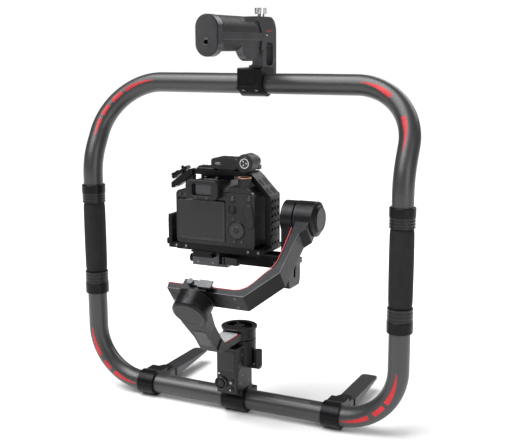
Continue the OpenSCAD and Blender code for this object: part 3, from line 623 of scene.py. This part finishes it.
# ---------------------------------------------------------------- top handle
def handle_details():
    lo, hi = span("handle_end_cap")
    face = Parts()
    x, z = (lo.x + hi.x) / 2, (lo.z + hi.z) / 2
    w, h = hi.x - lo.x, hi.z - lo.z
    outer, hole = rounded(w - 5, h - 5, (w - 5) / 2 - 0.01, steps=12), disc(5.2, 52, 0, 546.5 - z)
    face.add(*rim_plate(outer, hole, -0.6, 0.35), rear(x, lo.y, z))
    face.build("handle_cap_face", "handle", "black_plastic", plastic("cap_face", (0.03, 0.03, 0.032), 0.5), bevel=0.2)
    socket = Parts()
    socket.add(*lathe([(3.25, -3), (3.25, 0.9), (3.7, 1.1), (4.7, 1.1), (5.1, 0.8), (5.1, -3)], 48),
               rear(0, lo.y, 546.5))
    socket.build("handle_socket_ring", "handle", "grey_aluminium")
    lo, hi = span("handle_bracket")
    for name, y0, y1, z, t, mat in (("bracket_mark_red", 68, 90, 562.5, 0.9, RED),
                                    ("bracket_mark_grey", 68, 75, 556.5, 0.8, WHITE)):
        ribbon(name, [(hi.x, y0, z), (hi.x, y1, z)], t, 0.08, (1, 0, 0), "ring", "light_grey", mat)
    heads = Parts()
    for y, z in ((96, 520), (96, 575)):
        screw_head(heads, right(hi.x, y, z), 2.6, 0.6)
        screw_head(heads, left(lo.x, y, z), 2.6, 0.6)
    heads.build("bracket_screws", "ring", "steel")


handle_details()


# ---------------------------------------------------------------- gimbal base
def base_details():
    lo, hi = span("base_screen")
    y, zc = lo.y, (lo.z + hi.z) / 2
    glass_panel = Parts()
    glass_panel.add(*prism(rounded(24.5, 25, 1.2), -0.3, 0.25), rear(0, y, zc + 0.6))
    glass_panel.build("base_lcd", "ring", "screen", LCD)
    well = Parts()
    well.add(*lathe([(7.7, -2), (7.7, 0.6), (8.3, 1.3), (9.2, 1.3), (9.9, 0.5), (9.9, -2)], 48),
             rear(-8, -37.5, 54))
    well.build("stick_bezel", "ring", "black_plastic", BEZEL)
    heads = Parts()
    face_x = 17
    for y, z in ((-16, 94.2), (-16.5, 63.3), (3.2, 48.7), (-24.3, 53)):
        screw_head(heads, right(face_x, y, z), 1.9, 0.4)
        screw_head(heads, left(-face_x, y, z), 1.9, 0.4)
    heads.build("base_screws", "ring", "steel")
    keys = Parts()
    for z in (84, 74):
        keys.add(*prism(rounded(9, 4.5, 2.2), -0.5, 0.9), right(face_x, -24, z))
    keys.add(*prism(rounded(14, 6, 2.9), -0.5, 1.1), left(-face_x, -22, 80))
    keys.build("base_side_keys", "ring", "black_plastic", BEZEL, bevel=0.3)
    port = Parts()
    port.add(*prism(rounded(11, 5, 1.2), -0.5, 0.5), left(-face_x, -22, 58))
    port.build("base_port_cover", "ring", "rubber", bevel=0.25)
    symbols = Parts()
    symbols.add(*lathe([(1.1, 0), (1.1, 0.25), (1.5, 0.25), (1.5, 0)], 24), rear(9, -38.6, 57))
    symbols.build("mode_key_ring", "mode_button", "light_grey", WHITE)
    dot = Parts()
    dot.add(*lathe([(0, -0.2), (0.9, -0.2), (0.9, 0.15), (0.7, 0.25), (0, 0.28)], 28), rear(8, -38.6, 45.5))
    dot.build("record_key_dot", "record_button", "black_plastic", WHITE)
    lamp = Parts()
    lamp.add(*lathe([(0, -0.3), (0.9, -0.3), (0.9, 0.1), (0, 0.35)], 20), rear(-12, -35, 68))
    lamp.build("status_lamp", "ring", "light_grey", LAMP)
    stick = Parts()
    stick.add(*lathe([(0, 0), (1.6, 0), (1.8, 0.35), (1.0, 0.5), (0, 0.2)], 32), rear(-8, -39.3, 54))
    for k in range(4):
        a = math.pi * k / 2
        place = rear(-8, -39.9, 54) @ Matrix.Rotation(a, 4, "Z")
        stick.add(*prism([(3.6, -0.9), (4.6, 0), (3.6, 0.9)], -0.4, 0.25), place)
    stick.build("stick_cap_marks", "joystick", "rubber", BEZEL)


base_details()


# ---------------------------------------------------------------- gimbal arms and motors
PAN_Y, AXES_Z = 8, 302                       # where the three motor axes cross
CAN_R = 25                                   # radius of the pan and tilt motors
HUB_TOP, BAR_TOP = 131, 126                  # pan hub and the arm's flat bar
RISE = math.radians(38)                      # slope of the roll axis
ROLL_REACH = 187.7                           # from the crossing back to the roll motor's cap
ROLL = frame_at((0, PAN_Y - ROLL_REACH * math.cos(RISE), AXES_Z - ROLL_REACH * math.sin(RISE)),
                (1, 0, 0), (0, math.sin(RISE), -math.cos(RISE)), (0, math.cos(RISE), math.sin(RISE)))
TILT = frame_at((124.5, PAN_Y, AXES_Z), (0, 0, 1), (0, 1, 0), (-1, 0, 0))


def across_roll(z):
    """Frame on a plane square to the roll axis, facing the operator; local Y points up the arm."""
    turn = ROLL.to_3x3()
    return frame_at(ROLL @ Vector((0, 0, z)), (1, 0, 0), -(turn @ Vector((0, 1, 0))), -(turn @ Vector((0, 0, 1))))


def on_can(x, rise):
    """Frame on the tilt motor's axis at x, facing the point of its rear side that is rise above the axis."""
    c, k = math.sqrt(1 - (rise / CAN_R) ** 2), rise / CAN_R
    return frame_at((x, PAN_Y, AXES_Z), (1, 0, 0), (0, k, c), (0, -c, k))


def bead(r, z, w=0.8, h=0.25):
    """Raised round band on a cylinder of radius r."""
    return lathe([(r - 0.4, z), (r + h * 0.6, z + 0.1), (r + h, z + w / 2), (r + h * 0.6, z + w - 0.1),
                  (r - 0.4, z + w)], 64)


def motor_details():
    bands = Parts()
    bands.add(*bead(25.6, 6.0), ROLL)
    bands.add(*bead(25.6, 24.6), ROLL)
    bands.build("roll_motor_bands", "pan_stage", "motor_grey", BEZEL, sharp=60)
    # three dark pads proud of the can: painted shade standing in for notches
    notch_shade = Parts()
    for a in (205, 222, 270):
        notch_shade.add(*prism(rounded(3.0, 7, 1.4), 25.2, 26.0),
                  ROLL @ Matrix.Rotation(math.radians(a), 4, "Z") @ Matrix.Rotation(math.pi / 2, 4, "Y")
                  @ Matrix.Translation((-15, 0, 0)) @ Matrix.Rotation(math.pi / 2, 4, "Z"))
    notch_shade.build("roll_motor_notch_shade", "pan_stage", "motor_grey", PRINT_AND_SLOT_SHADE, bevel=0.15)
    rim = Parts()
    rim.add(*lathe([(20.6, -0.25), (20.6, 0.35), (21.3, 0.35), (21.3, -0.25)], 64), ROLL)
    rim.build("roll_cap_line", "pan_stage", "motor_grey", BEZEL)
    bands = Parts()
    bands.add(*bead(CAN_R, 0.0), TILT)
    bands.add(*bead(CAN_R, 25.9, 0.9), TILT)
    bands.add(*lathe([(16.2, -6.3), (16.2, -5.7), (16.9, -5.7), (16.9, -6.3)], 64), TILT)
    bands.build("tilt_motor_bands", "roll_arm", "motor_grey", BEZEL, sharp=60)
    # vent slot on the housing and two holes on the turning head, each a dark piece proud of the surface: painted
    # shade standing in for the openings
    slot, hole_shades = Parts(), Parts()
    slot.add(*prism(rounded(11, 2.4, 1.19), 24.3, 25.3), on_can(106.5, 11))
    slot.build("tilt_motor_slot_shade", "roll_arm", "motor_grey", PRINT_AND_SLOT_SHADE, bevel=0.15)
    for rise in (19.5, 12.5):
        hole_shades.add(*prism(disc(1.5, 24), 24.0, 24.85), on_can(85, rise))
    hole_shades.build("tilt_head_hole_shade", "tilt_stage", "dark_aluminium", PRINT_AND_SLOT_SHADE)
    bands = Parts()
    bands.add(*bead(CAN_R, 0.2, 0.7), up(0, PAN_Y, 104))
    bands.build("pan_motor_band", "ring", "motor_grey", BEZEL, sharp=60)


def roll_arm_details():
    def on_arm(x, s, n):
        return ROLL @ Vector((x, -n, s))
    normal = ROLL.to_3x3() @ Vector((0, -1, 0))
    top = 15.5                               # height of the arm's upper face over the roll axis
    far = [(-43.2, 39.4), (57, 39.4), (66.2, 41.3), (74.3, 46.9), (80.3, 55.2), (98.0, 86.3), (100.5, 96),
           (101.1, 125), (100.2, 156)]
    # near edge of the upper face: a lighter grey strip, a painted highlight standing in for the lit chamfer
    highlight_path = [(-41.6, 30.2), (74.6, 30.2), (110.4, 76.2), (113.8, 146)]
    ribbon("arm_red_line", [on_arm(x, s, top) for x, s in far], 1.3, 0.2, normal, "roll_arm", "motor_grey", DARK_RED)
    ribbon("arm_edge_painted_highlight", [on_arm(x, s, top) for x, s in highlight_path], 0.8, 0.12, normal, "roll_arm", "motor_grey",
           MATERIAL["grey_aluminium"])
    plates, heads = Parts(), Parts()
    front = across_roll(29.6)
    # two thin near-black plates proud of the front face: painted shade standing in for slots
    plates.add(*prism(rounded(17, 3.4, 1.65), -0.4, 0.2), front @ up(41, -1.5, 0))
    plates.add(*prism(rounded(9, 4.4, 2.1), -0.4, 0.2), front @ up(-33, 4.5, 0))
    plates.build("arm_slot_shade", "roll_arm", "motor_grey", PRINT_AND_SLOT_SHADE)
    for x, n in ((-38, -10), (60, 9), (60, -9)):
        screw_head(heads, front @ up(x, n, 0), 1.6, 0.4)
    heads.build("arm_screws", "roll_arm", "steel")


def pan_arm_details():
    """The CAD plate node holds two solids: the light plate and the dark crescent, which are shown apart."""
    source = NODES["pan_arm_plate"].data
    middle = BAR_TOP + 1                     # above the plate and below the crescent
    for name, slot, material, keep in (("arm_top_plate", "light_grey", MATERIAL["light_grey"], lambda z: z < middle),
                                       ("hub_crescent", "motor_grey", None, lambda z: z >= middle)):
        kept = {v.index: k for k, v in enumerate(v for v in source.vertices if keep(v.co.z / MM))}
        points = [source.vertices[i].co / MM for i in kept]
        faces = [tuple(kept[i] for i in p.vertices) for p in source.polygons if p.vertices[0] in kept]
        piece = build(name, points, faces, "pan_stage", slot, material)
        dress(piece, 0.35)
        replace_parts(piece, "pan_arm_plate")
    lines = {name: [(side * 13.7, -61), (side * 13.7, -24), (side * 14.2, -17.5)]
             for name, side in (("left", -1), ("right", 1))}
    lines["front"] = [(-13.2, -62.6), (13.2, -62.6)]
    for name, path in lines.items():
        ribbon("pan_arm_red_" + name, [(x, y, BAR_TOP) for x, y in path], 1.3, 0.35, (0, 0, 1), "pan_stage",
               "light_grey", DARK_RED)
    rim = Parts()
    rim.add(*lathe([(25.9, 0), (25.9, 0.4), (26.5, 0.4), (26.8, 0)], 64), up(0, PAN_Y, HUB_TOP))
    rim.build("hub_rim", "pan_stage", "light_grey", MATERIAL["grey_aluminium"])
    screws = Parts()
    strut = across_roll(3)
    for x in (-9, 9):
        screw_head(screws, strut @ up(x, -62, 0), 1.8, 0.3)
    panel = Parts()
    panel.add(*prism(rounded(20, 34, 3, 0, -58), -0.5, 0.5), strut)
    panel.build("strut_panel", "pan_stage", "motor_grey", BEZEL, bevel=0.4)
    screws.build("strut_screws", "pan_stage", "steel")


def tilt_arm_details():
    heads = Parts()
    side = span("tilt_arm")[0].x
    for y in (-6, 22):
        screw_head(heads, left(side, y, 268), 1.8, 0.4)
    heads.build("tilt_arm_screws", "tilt_stage", "steel")
    face = span("camera_arm")[0].y
    heads = Parts()
    for x in (-4, 66):
        screw_head(heads, rear(x, face, 237), 2.0, 0.4)
    heads.build("level_arm_screws", "camera_arm", "steel")
    lo = span("qr_base")[0]
    heads = Parts()
    for y in (0, 30):
        screw_head(heads, left(lo.x, y, 236), 2.0, 0.4)
    for x in (-44, -20):
        screw_head(heads, rear(x, lo.y, 234), 1.8, 0.4)
    heads.build("qr_screws", "camera_arm", "steel")


# ---------------------------------------------------------------- camera
def camera_rear():
    """Keys, wheel and screen on the camera's rear."""
    face = span("camera_body")[0].y
    keys, marks = Parts(), Parts()
    for x, z, r in ((15.4, 330, 3.6), (41.5, 331.5, 3.4), (16.7, 302, 2.7), (17.9, 268.7, 2.7), (29.5, 269.8, 2.7),
                    (-60.7, 331.7, 3.0), (-69, 331.7, 2.4)):
        keys.add(*lathe([(0, -0.5), (r, -0.5), (r, 0.9), (r - 0.5, 1.4), (0, 1.15)], 32), rear(x, face, z))
        marks.add(*lathe([(r * 0.35, 1.1), (r * 0.35, 1.4), (r * 0.45, 1.4), (r * 0.45, 1.1)], 20), rear(x, face, z))
    keys.build("camera_keys", "camera", "black_plastic", BEZEL, sharp=40)
    marks.build("camera_key_marks", "camera", "light_grey", DECAL)
    collars = Parts()
    for x, z, r in ((15.4, 330, 4.6), (41.5, 331.5, 4.4), (15.2, 314.9, 6.4), (22, 286, 13.2)):
        collars.add(*lathe([(r - 1.0, -0.5), (r - 1.0, 0.5), (r - 0.4, 0.9), (r, 0.6), (r + 0.3, -0.5)], 48),
                    rear(x, face, z))
    collars.build("camera_key_collars", "camera", "black_plastic", sharp=50)
    stick = Parts()
    at = rear(15.2, face, 314.9)
    stick.add(*lathe([(0, -0.5), (4.6, -0.5), (4.8, 1.2), (4.2, 2.0), (2.6, 2.6), (0, 2.3)], 36), at)
    for k in range(8):
        stick.add(*prism(rounded(0.7, 0.7, 0.3, steps=2), 1.6, 2.9),
                  at @ Matrix.Rotation(k * math.pi / 4, 4, "Z") @ up(3.0, 0, 0))
    stick.build("camera_stick", "camera", "rubber", sharp=40)
    wheel = Parts()
    wheel.add(*prism(knurl(12, 0.7, 36), -0.3, 1.7), rear(22, face, 286))
    wheel.build("camera_wheel", "camera", "black_plastic", BEZEL, bevel=0.25)
    hub = Parts()
    hub.add(*lathe([(0, -0.5), (5.2, -0.5), (5.2, 1.9), (4.6, 2.4), (0, 2.1)], 40), rear(22, face, 286))
    hub.build("camera_wheel_key", "camera", "black_plastic", sharp=40)
    ring = Parts()
    ring.add(*lathe([(5.9, 1.5), (5.9, 2.1), (6.6, 2.1), (6.6, 1.5)], 48), rear(22, face, 286))
    ring.build("camera_wheel_ring", "camera", "light_grey", DECAL)
    # thumb rest: a crowned pad beside the rear keys
    pad = Parts()
    grow = [(1.0, 0.0), (1.0, 1.4), (0.93, 2.4), (0.8, 3.1), (0.6, 3.5)]
    outline = rounded(13, 34, 6, steps=7)
    n = len(outline)
    points = [(x * g, y * (1 - (1 - g) * 0.5), z - 0.4) for g, z in grow for x, y in outline]
    faces = [(j * n + k, j * n + (k + 1) % n, (j + 1) * n + (k + 1) % n, (j + 1) * n + k)
             for j in range(len(grow) - 1) for k in range(n)]
    faces += [tuple(range(n - 1, -1, -1)), tuple((len(grow) - 1) * n + k for k in range(n))]
    pad.add(points, faces, rear(42, face, 307) @ Matrix.Rotation(math.radians(6), 4, "Z"))
    pad.build("thumb_rest", "camera", "rubber", LEATHER, sharp=60)
    skin = Parts()
    skin.add(*prism(rounded(14, 36, 4), -0.4, 0.5), rear(42, face, 276))
    skin.build("rear_grip_skin", "camera", "rubber", LEATHER, bevel=0.3)

    lo, hi = span("camera_screen")
    x, z = (lo.x + hi.x) / 2, (lo.z + hi.z) / 2
    w, h = hi.x - lo.x, hi.z - lo.z
    panel = Parts()
    panel.add(*prism(rounded(w - 9, h - 8, 1), -0.3, 0.12), rear(x, lo.y, z))
    panel.build("camera_lcd", "camera_screen", "screen", LCD)
    edge = Parts()
    edge.add(*rim_plate(rounded(w - 1.5, h - 1.5, 2), rounded(w - 5, h - 5, 1.6), -0.4, 0.35), rear(x, lo.y, z))
    edge.build("camera_screen_frame", "camera_screen", "screen", BEZEL, bevel=0.12)

    lo, hi = span("camera_eyecup")
    x, z = (lo.x + hi.x) / 2, (lo.z + hi.z) / 2 + 0.6
    cup = Parts()
    cup.add(*rim_plate(rounded(52, 28, 8, steps=8), rounded(31, 17, 3, steps=8), 0, 10.5), rear(x, -41.4, z))
    cup.add(*rim_plate(rounded(44, 24, 6, steps=8), rounded(31, 17, 3, steps=8), -1.6, 3.0), rear(x, -41.4, z))
    piece = cup.build("eyecup", "camera", "rubber", bevel=1.6, sharp=50)
    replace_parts(piece, "camera_eyecup")
    glass_eye = Parts()
    glass_eye.add(*prism(rounded(31.6, 17.6, 3), -1.5, 0.5), rear(x, -44.5, z))
    glass_eye.build("eyepiece_glass", "camera", "screen", LENS_GLASS)
    line = Parts()
    line.add(*rim_plate(rounded(26, 13.4, 2), rounded(24.6, 12, 1.4), 0, 0.35), rear(x, -45, z))
    line.build("eyepiece_frame", "camera", "rubber", BEZEL)
    tabs = Parts()
    for k in (-1, 1):
        tabs.add(*prism(rounded(5, 3.2, 1), -1, 0.8), rear(x + k * 9, -51.9, z - 11.6))
    tabs.build("eyecup_tabs", "camera", "rubber", BEZEL, bevel=0.4)


def camera_top():
    dial = Parts()
    dial.add(*prism(knurl(9.4, 0.35, 40), 0, 10.4), up(30, -29.5, 348.4))
    dial.build("mode_dial", "camera", "black_plastic", bevel=0.2)
    band = Parts()
    band.add(*lathe([(8.3, 0), (9.2, 0), (9.4, 0.6), (9.1, 0.9), (8.3, 0.9)], 48), up(30, -29.5, 359.7))
    band.build("mode_dial_band", "camera", "light_grey", plastic("orange_ring", (0.6, 0.3, 0.19), 0.4))
    wheel = Parts()
    wheel.add(*prism(knurl(7, 0.7, 24), 0, 4), up(36, 30, 328.5))
    wheel.build("command_wheel", "camera", "black_plastic", BEZEL, bevel=0.3)
    switch = Parts()
    switch.add(*lathe([(0, -1), (2.2, -1), (2.2, 1.4), (1.6, 2.2), (0, 2.4)], 28), up(44.5, -34, 338.4))
    switch.build("power_switch", "camera", "bright_metal", MATERIAL["steel"])
    shutter = Parts()
    shutter.add(*lathe([(0, 0), (6, 0), (6, 2), (5, 2.8), (0, 2.5)], 40), up(34, 44, 329.5))
    shutter.build("shutter_key", "camera", "bright_metal", MATERIAL["steel"])
    keys = Parts()
    for x, y in ((14, -12), (14, -30), (22, 4), (34, 2)):
        keys.add(*lathe([(0, -0.4), (2.6, -0.4), (2.6, 0.8), (2.2, 1.1), (0, 1.0)], 28), up(x, y, 347))
    keys.build("top_keys", "camera", "black_plastic", BEZEL)
    # hot shoe: floor plate and two lipped rails
    shoe = Parts()
    shoe.add(*prism(rounded(22, 20, 1, -29, -12), -0.3, 0.8), up(0, 0, 353))
    for side in (-1, 1):
        outline = [(-29 + side * 11, 0), (-29 + side * 11, 3.2), (-29 + side * 7.2, 3.2), (-29 + side * 7.2, 2.3),
                   (-29 + side * 9.6, 2.3), (-29 + side * 9.6, 0)]
        outline = outline if side < 0 else outline[::-1]
        shoe.add(*prism(outline, 3, 21), rear(0, 0, 353.6))
    shoe.build("hot_shoe", "camera", "bright_metal", MATERIAL["steel"], bevel=0.15)
    # port doors on the left side, strap lugs
    doors = Parts()
    for z, h in ((284, 26), (314, 24)):
        doors.add(*prism(rounded(34, h, 4), -0.6, 0.8), left(-76, -6, z))
    doors.build("port_doors", "camera", "rubber", bevel=0.4)
    lugs = Parts()
    for place in (left(-76, 8, 332), right(50, 8, 330)):
        lugs.add(*lathe([(1.8, -0.8), (1.8, 1.4), (3.4, 1.4), (3.4, -0.8)], 28), place)
    lugs.build("strap_lugs", "camera", "steel")
    skin = Parts()
    skin.add(*prism(rounded(22, 62, 6), -0.4, 0.7), ahead(33, 53, 296))
    skin.add(*prism(rounded(14, 62, 5), -0.4, 0.7), right(50, 30, 296))
    skin.build("front_grip_skin", "camera", "rubber", LEATHER, bevel=0.4)


def lens_details():
    lo, hi = span("lens_barrel")
    x, z = (lo.x + hi.x) / 2, (lo.z + hi.z) / 2
    front = frame_at((x, 28, z), (1, 0, 0), (0, 0, -1), (0, 1, 0))
    glass_dome = Parts()
    profile = [(0, 58), (27.5, 58), (27.5, 64)] + [(27.5 * math.cos(a), 64 + 7 * math.sin(a))
                                                   for a in [math.pi / 2 * k / 8 for k in range(1, 8)]] + [(0, 71)]
    glass_dome.add(*lathe(profile, 56), front)
    glass_dome.build("front_element", "camera", "screen", LENS_GLASS, sharp=50)
    band = Parts()
    band.add(*prism(knurl(34.8, 0.7, 64), 6, 15), front)
    band.build("aperture_ring", "camera", "rubber", bevel=0.2)
    ticks = Parts()
    for k in range(12):
        a = math.radians(-80 + 14 * k)
        place = front @ Matrix.Rotation(a, 4, "Z") @ Matrix.Rotation(math.pi / 2, 4, "Y")
        ticks.add(*prism(rounded(2.4, 0.6, 0.2, steps=2), 33.7, 34.15), place @ up(-58, 0, 0))
    ticks.build("distance_ticks", "camera", "light_grey", WHITE)
    name_ring = Parts()
    name_ring.add(*lathe([(29, 68.5), (33, 77.4), (33.4, 77.2), (29.6, 68.0)], 56), front)
    name_ring.build("filter_ring", "camera", "black_aluminium", sharp=50)


def cage_details():
    heads = Parts()
    for y in (-14, 6):
        screw_head(heads, right(65, y, 260), 2.4, 0.5)
    for x in (-76, -60, 40, 56):
        screw_head(heads, rear(x, -42, 256.6), 1.9, 0.4)
    for x in (-58, 26):
        screw_head(heads, up(x, -12, 366), 2.4, 0.6)
    heads.build("cage_screws", "camera", "steel")
    rail = Parts()
    rail.add(*prism([(-10, 0), (10, 0), (10, 1.2), (8, 3.2), (-8, 3.2), (-10, 1.2)], -56, -26),
             frame_at((0, -4, 366), (0, 1, 0), (0, 0, 1), (1, 0, 0)))
    for k in range(6):
        rail.add(*prism(rounded(2.6, 17, 0.6, steps=2), 3.0, 4.6), up(-53 + 5 * k, -4, 366))
    rail.build("cage_rail", "camera", "black_aluminium", bevel=0.25)
    # side clamp at the left shoulder: jaw, lever and two pins
    jaw = Parts()
    slope = frame_at((-82, -11, 357), (0.819, 0, 0.574), (0, 1, 0), (-0.574, 0, 0.819))
    jaw.add(*prism(rounded(30, 15, 2.5), 1.0, 5.5), slope)
    jaw.add(*prism(rounded(13, 8, 1.5, -9, 0), 5.0, 8.5), slope)
    for x in (-11, 9):
        jaw.add(*lathe([(0, 5), (2.4, 5), (2.4, 8.2), (1.8, 9), (0, 9)], 28), slope @ up(x, -4.5, 0))
    jaw.add(*prism(rounded(24, 13, 2), -12.0, -7.4), slope @ up(-2, 0, 0))
    jaw.add(*prism(rounded(9, 9, 2), -8.0, 0.4), slope @ up(4, 0, 0))
    jaw.add(*prism(rounded(15, 11, 2), -5.0, 2.4), rear(-67, -14.5, 352))
    jaw.build("cage_side_clamp", "camera", "black_aluminium", bevel=0.35)
    plates = Parts()
    for z0 in (272, 290, 308):
        plates.add(*prism(rounded(27, 3, 1.2), -0.4, 0.5), right(65, -4, z0 + 4))
    plates.build("cage_post_ribs", "camera", "black_aluminium", bevel=0.2)
    # four thin near-black plates on the sloping shoulder: painted shade standing in for slots
    shoulder = Parts()
    along, out = (-0.693, 0, 0.721), (0.721, 0, 0.693)   # directions on the sloping shoulder
    for x, z in ((58.6, 340.7), (47.4, 352.3)):
        for y in (-12, 3):
            shoulder.add(*prism(rounded(9, 12, 3.4), -0.5, 0.25), frame_at((x, y, z), (0, 1, 0), along, out))
    shoulder.build("cage_shoulder_slot_shade", "camera", "black_aluminium", PRINT_AND_SLOT_SHADE)
    clip = Parts()
    clip.add(*prism(rounded(6, 40, 1.5), -0.4, 1.6), rear(-87.5, -38, 277))
    clip.add(*prism(rounded(9, 9, 2), 0.5, 3.4), rear(-88, -38, 262))
    clip.build("cable_clip", "camera", "black_aluminium", bevel=0.35)


def focus_details():
    lo, hi = span("focus_gear")
    x, z = (lo.x + hi.x) / 2, (lo.z + hi.z) / 2
    cap = Parts()
    cap.add(*lathe([(0, -1.5), (9.8, -1.5), (9.8, 0.4), (9.2, 0.8), (0, 0.8)], 48), rear(x, lo.y, z))
    cap.build("focus_gear_cap", "focus_gear", "black_plastic", BEZEL)
    ring = Parts()
    ring.add(*lathe([(6.2, 0.6), (6.2, 1.0), (6.9, 1.0), (6.9, 0.6)], 48), rear(x, lo.y, z))
    for k in range(3):
        ring.add(*prism(rounded(3.4, 0.8, 0.3, steps=2), 0.6, 1.0),
                 rear(x, lo.y, z) @ Matrix.Rotation(k * 2 * math.pi / 3, 4, "Z") @ up(3.2, 0, 0))
    ring.build("focus_gear_marks", "focus_gear", "light_grey", WHITE)
    keys = Parts()
    for k in range(3):
        keys.add(*prism(rounded(5, 5, 2.3), -0.4, 0.8), up(-22 + 8 * k, 0, 383.5))
    keys.build("focus_motor_keys", "camera", "rubber", bevel=0.2)
    port = Parts()
    port.add(*prism(rounded(9, 3.6, 1.7), -0.4, 0.35), rear(-20, -16, 376))
    port.build("focus_motor_port", "camera", "steel", bevel=0.15)


# ---------------------------------------------------------------- CAD nodes that stay
BEVELS = {"camera_body": 1.2, "camera_eyecup": 1.2, "tilt_arm": 1.2, "roll_arm": 1.0, "pan_arm": 1.2,
          "handle_bracket": 1.0, "handle_end_cap": 0.8, "foot_left": 1.0, "foot_right": 1.0, "base_shell_rear": 0.8,
          "base_shell_front": 0.8, "qr_base": 0.8, "cage_frame": 0.8, "camera_arm": 0.8, "focus_motor": 1.2,
          "roll_saddle": 0.8, "foot_clamp_uppers": 0.8, "center_clamp_upper": 0.8, "top_clamp_upper": 0.8,
          "clamp_lower_halves": 0.6}


def dress(piece, width):
    """Merge the CAD mesh's split points and round its edges."""
    weld = piece.modifiers.new("weld", "WELD")
    weld.merge_threshold = 0.002 * MM
    edge_bevel(piece, width, 40)


def dress_nodes():
    slots = {part["node"]: part["material_slot"] for part in frame["record"]["subparts"]}
    for name, node in NODES.items():
        if node.hide_render:
            continue
        node.data.materials.clear()
        node.data.materials.append(MATERIAL[slots[name]])
        dress(node, BEVELS.get(name, 0.3))


motor_details()
roll_arm_details()
pan_arm_details()
tilt_arm_details()
camera_rear()
camera_top()
lens_details()
cage_details()
focus_details()
dress_nodes()


# ---------------------------------------------------------------- stage, light, camera
def stage():
    mesh = bpy.data.meshes.new("floor")
    half = 9.0
    mesh.from_pydata([(-half, -half, -0.0005), (half, -half, -0.0005), (half, half, -0.0005), (-half, half, -0.0005)],
                     [], [(0, 1, 2, 3)])
    floor = bpy.data.objects.new("floor", mesh)
    bpy.context.scene.collection.objects.link(floor)
    s = Shader("pale_floor", (0.93, 0.93, 0.93), 0.9)
    s.bump(s.noise(60), 0.02, 0.2)
    mesh.materials.append(s.material)
    world = bpy.data.worlds.new("studio")
    world.use_nodes = True
    tree = world.node_tree
    back = tree.nodes["Background"]
    back.inputs["Color"].default_value = (1, 1, 1, 1)
    # white where the camera looks past the object, dimmer where it lights the object
    seen = tree.nodes.new("ShaderNodeLightPath").outputs["Is Camera Ray"]
    level = tree.nodes.new("ShaderNodeMix")
    level.inputs["A"].default_value, level.inputs["B"].default_value = 0.16, 1.0
    tree.links.new(seen, level.inputs["Factor"])
    tree.links.new(level.outputs["Result"], back.inputs["Strength"])
    bpy.context.scene.world = world
    bpy.context.scene.view_settings.view_transform = "Standard"


def sky_panel():
    data = bpy.data.lights.new("sky_panel", "SUN")
    data.energy, data.angle = 3.4, math.radians(45)
    lamp = bpy.data.objects.new("sky_panel", data)
    lamp.rotation_euler = (math.radians(14), math.radians(-16), 0)
    bpy.context.scene.collection.objects.link(lamp)


def softbox(name, place, target, size, power):
    data = bpy.data.lights.new(name, "AREA")
    data.shape, data.size, data.size_y, data.energy = "RECTANGLE", size[0], size[1], power
    lamp = bpy.data.objects.new(name, data)
    lamp.location = place
    lamp.rotation_euler = (Vector(target) - Vector(place)).to_track_quat("-Z", "Y").to_euler()
    bpy.context.scene.collection.objects.link(lamp)


def photo_camera():
    data = bpy.data.cameras.new("photo_camera")
    data.lens, data.sensor_width, data.sensor_fit = 901.66 / 527 * 36, 36, "HORIZONTAL"
    data.clip_start, data.clip_end = 0.01, 60
    camera = bpy.data.objects.new("photo_camera", data)
    camera.matrix_world = frame_at((0.591732, -1.145748, 0.538675), (0.90263, 0.43040, -0.00304),
                                   (-0.07810, 0.17073, 0.98222), (0.42327, -0.88634, 0.18772))
    bpy.context.scene.collection.objects.link(camera)
    bpy.context.scene.camera = camera


stage()
sky_panel()
softbox("key", (-0.9, -1.6, 1.9), (0, 0, 0.3), (1.6, 1.2), 26)
softbox("fill", (1.9, -1.2, 1.0), (0, 0, 0.3), (1.2, 1.6), 16)
softbox("rim", (0.6, 1.8, 1.6), (0, 0, 0.3), (2.0, 1.0), 18)
photo_camera()
